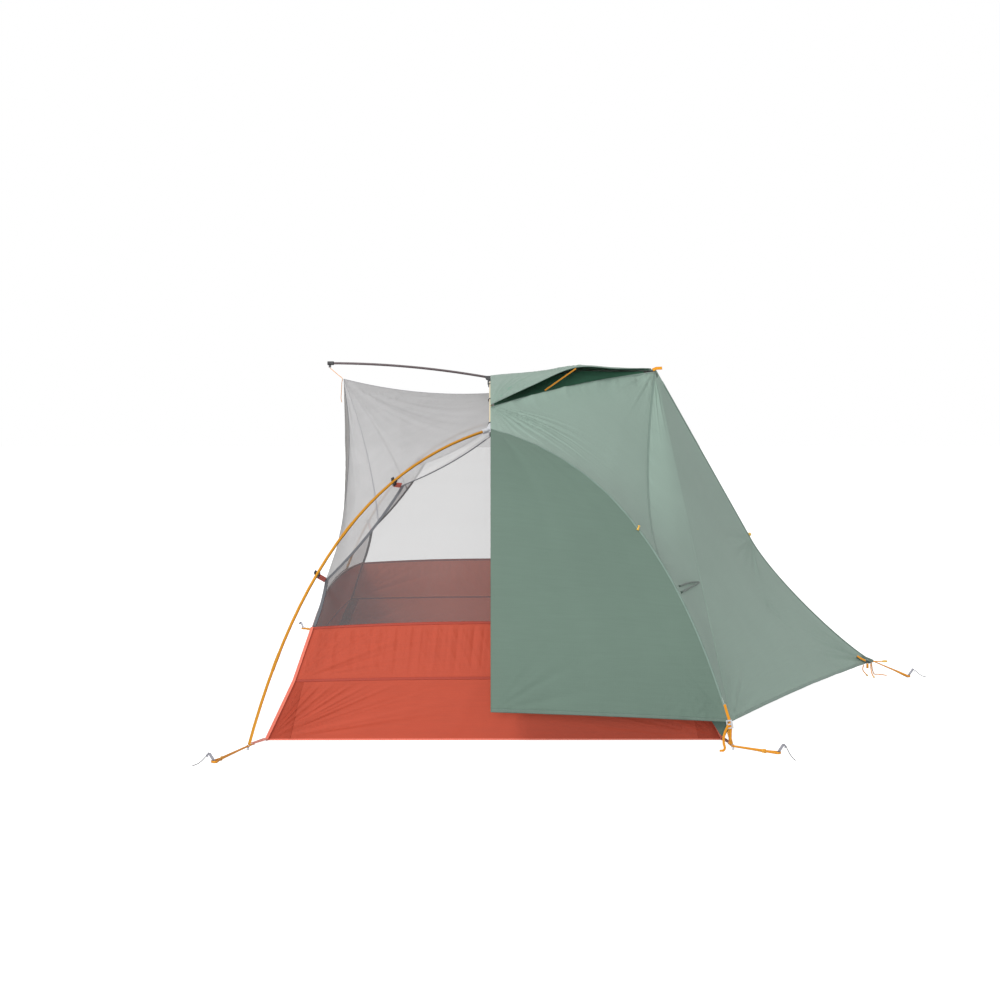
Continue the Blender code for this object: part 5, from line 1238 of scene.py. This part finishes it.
hood_corner, hood_tip = Vector((0.0, -0.574, 0.94434)), Vector((0.544, -0.003, 1.0655))
brow = smooth([hood_corner, (0.125, -0.452, 1.002), (0.272, -0.330, 1.063), (0.420, -0.170, 1.062), hood_tip])
hood = Sheet(patch(brow, part_of(over, 0.0, 0.955), arc(hood_corner, over(0.0), (0, 0, 0.024)),
                   arc(hood_tip, over(0.955)), 120, 70), (0, -0.3, 1.0))
hood.lift((billow(hood, 3, 2, 0.0022, 4)
           + fan(hood, hood_corner, (0.10, -0.35, 1.0), 0.9, 8, 0.0062, 0.15, 5)
           + fan(hood, (0.272, -0.330, 1.063), (0.1, 0.0, 1.04), 0.9, 5, 0.004, 0.12, 3))
          * hood.held("LRBT", 0.014))
cloth("vent_hood_cloth", [hood], FLY, "vent_hood", rests=["vent_strut", "spreader_pole"])
# The hood's underside gets the brighter green of painted light, for light that passes through the fly.
underside_u, underside_v = np.meshgrid(np.linspace(0.012, 0.985, 110), np.linspace(0.012, 0.97, 60), indexing="ij")
patch_on("vent_hood_lining", hood, underside_u, underside_v, FLY_UNDERSIDE_PAINTED_LIGHT, lift=-0.0012, thickness=0.0003)
tape("vent_hood_hem", hood, "B", 0.0085, FLY_TAPE, lift=0.0005, span=(0.004, 0.985), count=140)


def screen_low(t):
    return vent_lip(lerp(0.02, 0.95, t)) + Vector((0.0, 0.004, -0.005))


def screen_high(t):
    return lerp(brow(lerp(0.02, 0.95, t)), over(lerp(0.02, 0.90, t)), 0.45) + Vector((0.0, 0.0, -0.0085))


screen = Sheet(patch(screen_low, screen_high, arc(screen_low(0.0), screen_high(0.0), (0, 0, -0.004)),
                     arc(screen_low(1.0), screen_high(1.0), (0, 0, -0.002)), 90, 40), (0, -0.4, 1.0))
screen.lift((billow(screen, 4, 2, 0.0024, 7) - 0.004 * np.sin(screen.v * math.pi)) * screen.held("LRBT", 0.02))
cloth("vent_screen", [screen], VENT_MESH, rests=["vent_hood_cloth", "fly_side_front_cloth"], thickness=0.0)

# Small things on the fly: toggle, guy-out loop, tip tab, corner flap


def near(sheet, x, z):
    """The directions of a sheet at which it passes a place in the front view."""
    gap = (sheet.grid[..., 0] - x) ** 2 + (sheet.grid[..., 2] - z) ** 2
    i, j = np.unravel_index(np.argmin(gap), gap.shape)
    return i / (sheet.grid.shape[0] - 1), j / (sheet.grid.shape[1] - 1)


toggle_at = min((fly_arch(k / 400) for k in range(100, 300)), key=lambda p: abs(p.z - 0.597))
toggle_out = (leg_forward * 0.8 + Vector((0.25, 0.0, 0.55))).normalized()
toggle_centre = toggle_at + toggle_out * 0.0062
lathe("fly_toggle", [(0.0, -0.0072), (0.0026, -0.0071), (0.0036, -0.0060), (0.0033, -0.0040), (0.0024, -0.0018),
                     (0.0022, 0.0), (0.0024, 0.0018), (0.0033, 0.0040), (0.0036, 0.0060), (0.0026, 0.0071),
                     (0.0, 0.0072)], toggle_centre, (0.35, 0.1, 1.0), AMBER, slot="fly_nylon", sides=20)
tube("fly_toggle_tie", [toggle_at - toggle_out * 0.0004, lerp(toggle_at, toggle_centre, 0.5), toggle_centre], 0.0012,
     FLY_LOOP, slot="fly_nylon")

loop_marks = [gusset.spot(*near(gusset, x, z)) for x, z in ((0.5345, 0.4343), (0.572, 0.4290), (0.607, 0.4205))]
low_marks = [gusset.spot(*near(gusset, x, z)) for x, z in ((0.575, 0.4170), (0.536, 0.4195))]
loop_run = [p + n * (0.0015 + lift) for (p, n), lift in zip(loop_marks + low_marks, (0.0, 0.004, 0.008, 0.004, 0.0))]
loop_curve = smooth(loop_run)
loop_faces = [n for p, n in loop_marks + low_marks]
strip("guy_out_loop", [loop_curve(k / 28) for k in range(29)], loop_faces[1], 0.0048, 0.0010, FLY_LOOP, "tent",
      "fly_nylon")
for k, (p, n) in enumerate((loop_marks[0], low_marks[-1])):
    lathe(f"guy_out_tack_{k + 1}", [(0.0, 0.0), (0.0040, 0.0), (0.0036, 0.0022), (0.0, 0.0026)], p, n, FLY_LOOP,
          slot="fly_nylon", sides=8)

strip("fly_tip_tab", spaced([(0.548, -0.016, 1.0600), (0.560, -0.014, 1.0655), (0.5800, -0.012, 1.0665)]),
      (0.0, -1.0, 0.3), 0.0105, 0.0014, ORANGE)

# The flap's dark grey-green is painted shade.
flap_foot, flap_toe = (0.6330, -1.2560, 0.0400), (0.6440, -1.2590, 0.0330)
flap_left, flap_right = (0.6040, -1.2450, 0.0850), (0.6640, -1.2680, 0.0800)
flap = Sheet(patch(arc(flap_foot, flap_toe), arc(flap_left, flap_right), arc(flap_foot, flap_left),
                   arc(flap_toe, flap_right), 20, 24), (0.2, -1.0, 0.2))
flap.lift(billow(flap, 2, 1, 0.0010, 3) * flap.held("LRBT", 0.006))
cloth("corner_flap", [flap], FLAP, slot="fly_end_nylon", held="hung", rests=["fly_end_front_cloth"], digits=5)

# ---- Straps from the corners to the stakes

toe_aim = (leg(1 / 30) - leg(0)).normalized()
RING_HEIGHT = 0.0042


def taper(start, end, count, power=1.0):
    """Widths from start to end over count places."""
    return [lerp(start, end, (k / (count - 1)) ** power) for k in range(count)]



for label, sx, sy in QUARTERS:
    corner, foot = floor_at(sx, sy), flip(leg(0), sx, sy)
    toe = flip(toe_aim, sx, sy)
    grommet = foot + toe * (0.0125 / toe.z)
    x, y = STAKES[label]
    up = stake_axis(x, y)
    ring = Vector((x, y, 0.0)) + up * (RING_HEIGHT / up.z)
    start = corner + (grommet - corner).normalized() * 0.0012
    start.z = 0.0022
    aim = level(grommet - start)
    tab_end = grommet + aim * 0.014
    flat = level(ring - tab_end)
    neck = ring - flat * 0.036
    neck.z = lerp(tab_end.z, ring.z, 0.85)
    low = Vector((0.0, 0.0, -0.0006))
    first = [p + low + Vector((0.0, 0.0, 0.0030)) for p in spaced([start, lerp(start, grommet, 0.82)])]
    strip(f"corner_web_{label}", first, Vector((0.0, -0.95 * sy, 1.0)), 0.014, 0.0012, PINK, "tent", "webbing",
          f"corner_strap_{label}", widths=taper(0.0150, 0.0115, len(first)))
    second = spaced([lerp(start, grommet, 0.76), lerp(start, grommet, 0.92), grommet, tab_end], 0.003)
    second = [p + low for p in second]
    strip(f"corner_tab_{label}", second, Vector((0.0, -0.18 * sy, 1.0)), 0.0125, 0.0013, ORANGE,
          widths=taper(0.0120, 0.0105, len(second)))
    lathe(f"corner_eyelet_{label}", ring_profile(0.0052, 0.0012), grommet, toe, EYELET, slot="hub_pale")
    lathe(f"leg_tip_{label}", [(0.00302, -0.0004), (0.0033, 0.0), (0.0033, 0.0110), (0.0030, 0.0114)], foot, toe,
          EYELET, slot="hub_pale", sides=20)
    run = spaced([tab_end - flat * 0.002, lerp(tab_end, neck, 0.45), neck], 0.004)
    edge = Vector((-flat.y, flat.x, 0.0))
    strip(f"corner_run_{label}", [p - edge * 0.0006 for p in run], edge, 0.004, 0.0012, ORANGE,
          widths=taper(0.0056, 0.0088, len(run), 1.4))
    stake_loop(f"corner_loop_{label}", neck, ring - flat * 0.0020, 0.0062)
    ladder(f"corner_slider_{label}", neck - flat * 0.004, flat, (0.0, 0.0, 1.0), (0.010, 0.0105), 0.0010, AMBER,
           "webbing")

x, y = STAKES["vestibule"]
up = stake_axis(x, y)
ring = Vector((x, y, 0.0)) + up * (RING_HEIGHT / up.z)
lead = vestibule_end + level(ring - vestibule_end) * 0.0012
flat = level(ring - lead)
edge = Vector((-flat.y, flat.x, 0.0))
neck = lerp(lead, ring, 0.66)
run = spaced([lead, neck], 0.004)
strip("vestibule_web", [p - edge * 0.0006 for p in run], edge, 0.004, 0.0012, ORANGE, "tent", "webbing",
      "vestibule_strap", widths=taper(0.0036, 0.0062, len(run), 1.6))
stake_loop("vestibule_loop", neck, ring - flat * 0.0026, 0.0065)

# Straps that hold the fly at the feet of the poles, with their tails

for label, sy in ENDS:
    foot = flip(leg(0), 1, sy)
    toe = flip(toe_aim, 1, sy)
    side = flip(leg_forward, 1, sy)
    low = foot + toe * (0.0165 / toe.z) + side * 0.0085
    outward = flip(leg_forward + leg_plan, 1, sy) * 0.0035
    high = flip(fly_arch(0.952), 1, sy) + outward
    lock = flip(fly_arch(1.0), 1, sy) + outward * 1.3 - Vector((0, 0, 0.004))
    points = [high, lerp(high, lock, 0.5), lock, lerp(lock, low, 0.5), low]
    aim = (points[3] - points[1]).normalized()
    across = Vector((leg_plan.x, leg_plan.y * sy, 0.0))
    face = aim.cross(across)
    face = -face if face.y * sy > 0 else face
    across = face.cross(aim)
    route = smooth(points)
    run = [route(k / 40) - face * 0.0006 for k in range(41)]
    strip(f"fly_web_{label}", run, face, 0.010, 0.0012, ORANGE, "tent", "webbing", f"fly_strap_{label}",
          widths=[lerp(0.0080, 0.0100, min(1.0, k / 24)) for k in range(41)])
    strip(f"fly_web_return_{label}", [route(0.5 + 0.5 * k / 20) + face * 0.0010 + across * 0.0012 * k / 20
                                      for k in range(18)], face, 0.0074, 0.0010, ORANGE)

tail, tail_length = routed([
    (0.6540, -1.2790, 0.0750), (0.6470, -1.2830, 0.0625), (0.6405, -1.2860, 0.0480), (0.6380, -1.2880, 0.0330),
    (0.6388, -1.2900, 0.0200), (0.6412, -1.2910, 0.0095), (0.6365, -1.2920, 0.0030), (0.6265, -1.2925, 0.0018)], 36)
tail_strap = strip("fly_strap_tail", tail, (0.25, -1.0, 0.12), 0.0070, 0.0010, ORANGE)

# What hangs at the vestibule's corner

for part, points, width, thickness, material in (
        ("", [(1.2336, -0.0965, 0.0985), (1.2475, -0.0945, 0.0895), (1.2632, -0.0915, 0.0815)], 0.0062, 0.0020,
         ORANGE),
        ("_edge", [(1.2320, -0.0948, 0.0955), (1.2465, -0.0930, 0.0862), (1.2650, -0.0898, 0.0772)], 0.0084, 0.0014,
         FLY_LOOP)):
    strip(f"vestibule_tie_back{part}", spaced(points), (0.3, -0.9, 0.35), width, thickness, material,
          "vestibule_door")
corner_run = spaced([(1.2600, -0.0440, 0.0830), (1.2860, -0.0200, 0.0760), (1.3075, -0.0030, 0.0680)])
strip("vestibule_corner_patch", corner_run, (0.25, -0.9, 0.35), 0.0180, 0.0012, FLY_HEM, "tent", "fly_nylon",
      widths=taper(0.020, 0.009, len(corner_run)))
lathe("vestibule_corner_knot", [(0.0, -0.0100), (0.0032, -0.0092), (0.0046, -0.0040), (0.0040, 0.0030),
                                (0.0026, 0.0092), (0.0, 0.0100)],
      (1.2780, -0.0640, 0.0735), (0.92, 0.0, -0.32), FLY_KNOT, slot="fly_nylon", sides=16)
strip("vestibule_zip_tab", spaced([(1.2748, -0.0640, 0.0690), (1.2750, -0.0645, 0.0610), (1.2752, -0.0645, 0.0525)]),
      (0.1, -1.0, 0.0), 0.0080, 0.0016, ORANGE)
strip("vestibule_end_tab", spaced([(1.3040, -0.0040, 0.0675), (1.3170, -0.0060, 0.0675), (1.3540, -0.0060, 0.0681)]),
      (0.0, -1.0, 0.3), 0.0036, 0.0014, ORANGE)
lathe("vestibule_end_stop", [(0.0, -0.0095), (0.0030, -0.0085), (0.0040, 0.0), (0.0032, 0.0070), (0.0, 0.0095)],
      (1.3460, -0.0068, 0.0681), (1.0, 0.0, 0.0), AMBER, slot="webbing", sides=16)
for label, points, count, radius in (
        (1, [(1.2607, -0.0720, 0.0652), (1.2579, -0.0730, 0.0531), (1.2591, -0.0740, 0.0451),
             (1.2651, -0.0750, 0.0378), (1.2731, -0.0760, 0.0291)], 20, 0.0018),
        (2, [(1.2871, -0.0580, 0.0666), (1.2879, -0.0600, 0.0526), (1.2897, -0.0620, 0.0392),
             (1.2931, -0.0640, 0.0293), (1.2982, -0.0660, 0.0214)], 20, 0.0018),
        (3, [(1.3050, 0.0120, 0.0610), (1.3110, 0.0380, 0.0460), (1.3200, 0.0680, 0.0260), (1.3330, 0.1050, 0.0080),
             (1.3503, 0.1402, 0.0022), (1.3640, 0.1330, 0.0018), (1.3777, 0.1139, 0.0018)], 34, 0.0017)):
    cord(f"vestibule_tail_{label}", points, count, radius, [], "tent", CORD_ORANGE, "webbing", far_end="bare",
         lay="hanging")
for label, place, aim in ((1, (1.2720, -0.0759, 0.0302), (0.67, -0.1, -0.73)),
                          (2, (1.2970, -0.0656, 0.0232), (0.5, -0.2, -0.8))):
    lathe(f"vestibule_tail_knot_{label}",
          [(0.0, -0.0042), (0.0024, -0.0030), (0.0030, 0.0), (0.0024, 0.0030), (0.0, 0.0042)], place, aim, AMBER,
          slot="webbing", sides=14)

# ---- Light and ground


def watched(tree):
    """1 for what the camera, a reflection or glass sees."""
    path = tree.nodes.new("ShaderNodeLightPath")
    seen = path.outputs["Is Camera Ray"]
    for kind in ("Is Glossy Ray", "Is Transmission Ray"):
        most = tree.nodes.new("ShaderNodeMath")
        most.operation = "MAXIMUM"
        tree.links.new(seen, most.inputs[0])
        tree.links.new(path.outputs[kind], most.inputs[1])
        seen = most.outputs[0]
    return seen


bpy.ops.mesh.primitive_plane_add(size=1.0, location=(0.0, 0.0, -0.0004))
ground = bpy.context.object
ground.name = "ground"
ground.scale = (60.0, 60.0, 1.0)
soil = Nodes("pale_ground", (0.50, 0.50, 0.50), 0.9, Specular_IOR_Level=0.0)
glow = soil.add("ShaderNodeEmission")
both = soil.add("ShaderNodeAddShader")
ranged(soil.tree, watched(soil.tree), 0.0, 1.0, glow.inputs["Strength"])
soil.link(soil.shader.outputs[0], both.inputs[0]).link(glow.outputs[0], both.inputs[1])
soil.link(both.outputs[0], soil.tree.nodes["Material Output"].inputs["Surface"])
ground.data.materials.append(soil.material)

world = bpy.data.worlds.new("studio")
scene.world = world
world.use_nodes = True
back = world.node_tree.nodes["Background"]
back.inputs["Color"].default_value = (1.0, 1.0, 1.0, 1.0)
ranged(world.node_tree, watched(world.node_tree), 0.44, 1.0, back.inputs["Strength"])


def lamp(name, kind, place, aim, energy, **settings):
    """A light at a place, turned to aim."""
    data = bpy.data.lights.new(name, kind)
    data.energy = energy
    for key, value in settings.items():
        setattr(data, key, value)
    thing = bpy.data.objects.new(name, data)
    thing.location = place
    thing.rotation_euler = (Vector(aim) - Vector(place)).to_track_quat("-Z", "Y").to_euler()
    scene.collection.objects.link(thing)


lamp("key", "AREA", (-2.4, -4.2, 4.4), (0.1, 0.0, 0.4), 118.0, shape="DISK", size=1.4)
lamp("fill", "AREA", (3.4, -3.8, 2.6), (0.2, 0.0, 0.4), 5.0, shape="DISK", size=2.4)
lamp("front", "SUN", (0.0, 0.0, 0.0), (0.12, 0.98, -0.15), 1.54, angle=math.radians(24.0))
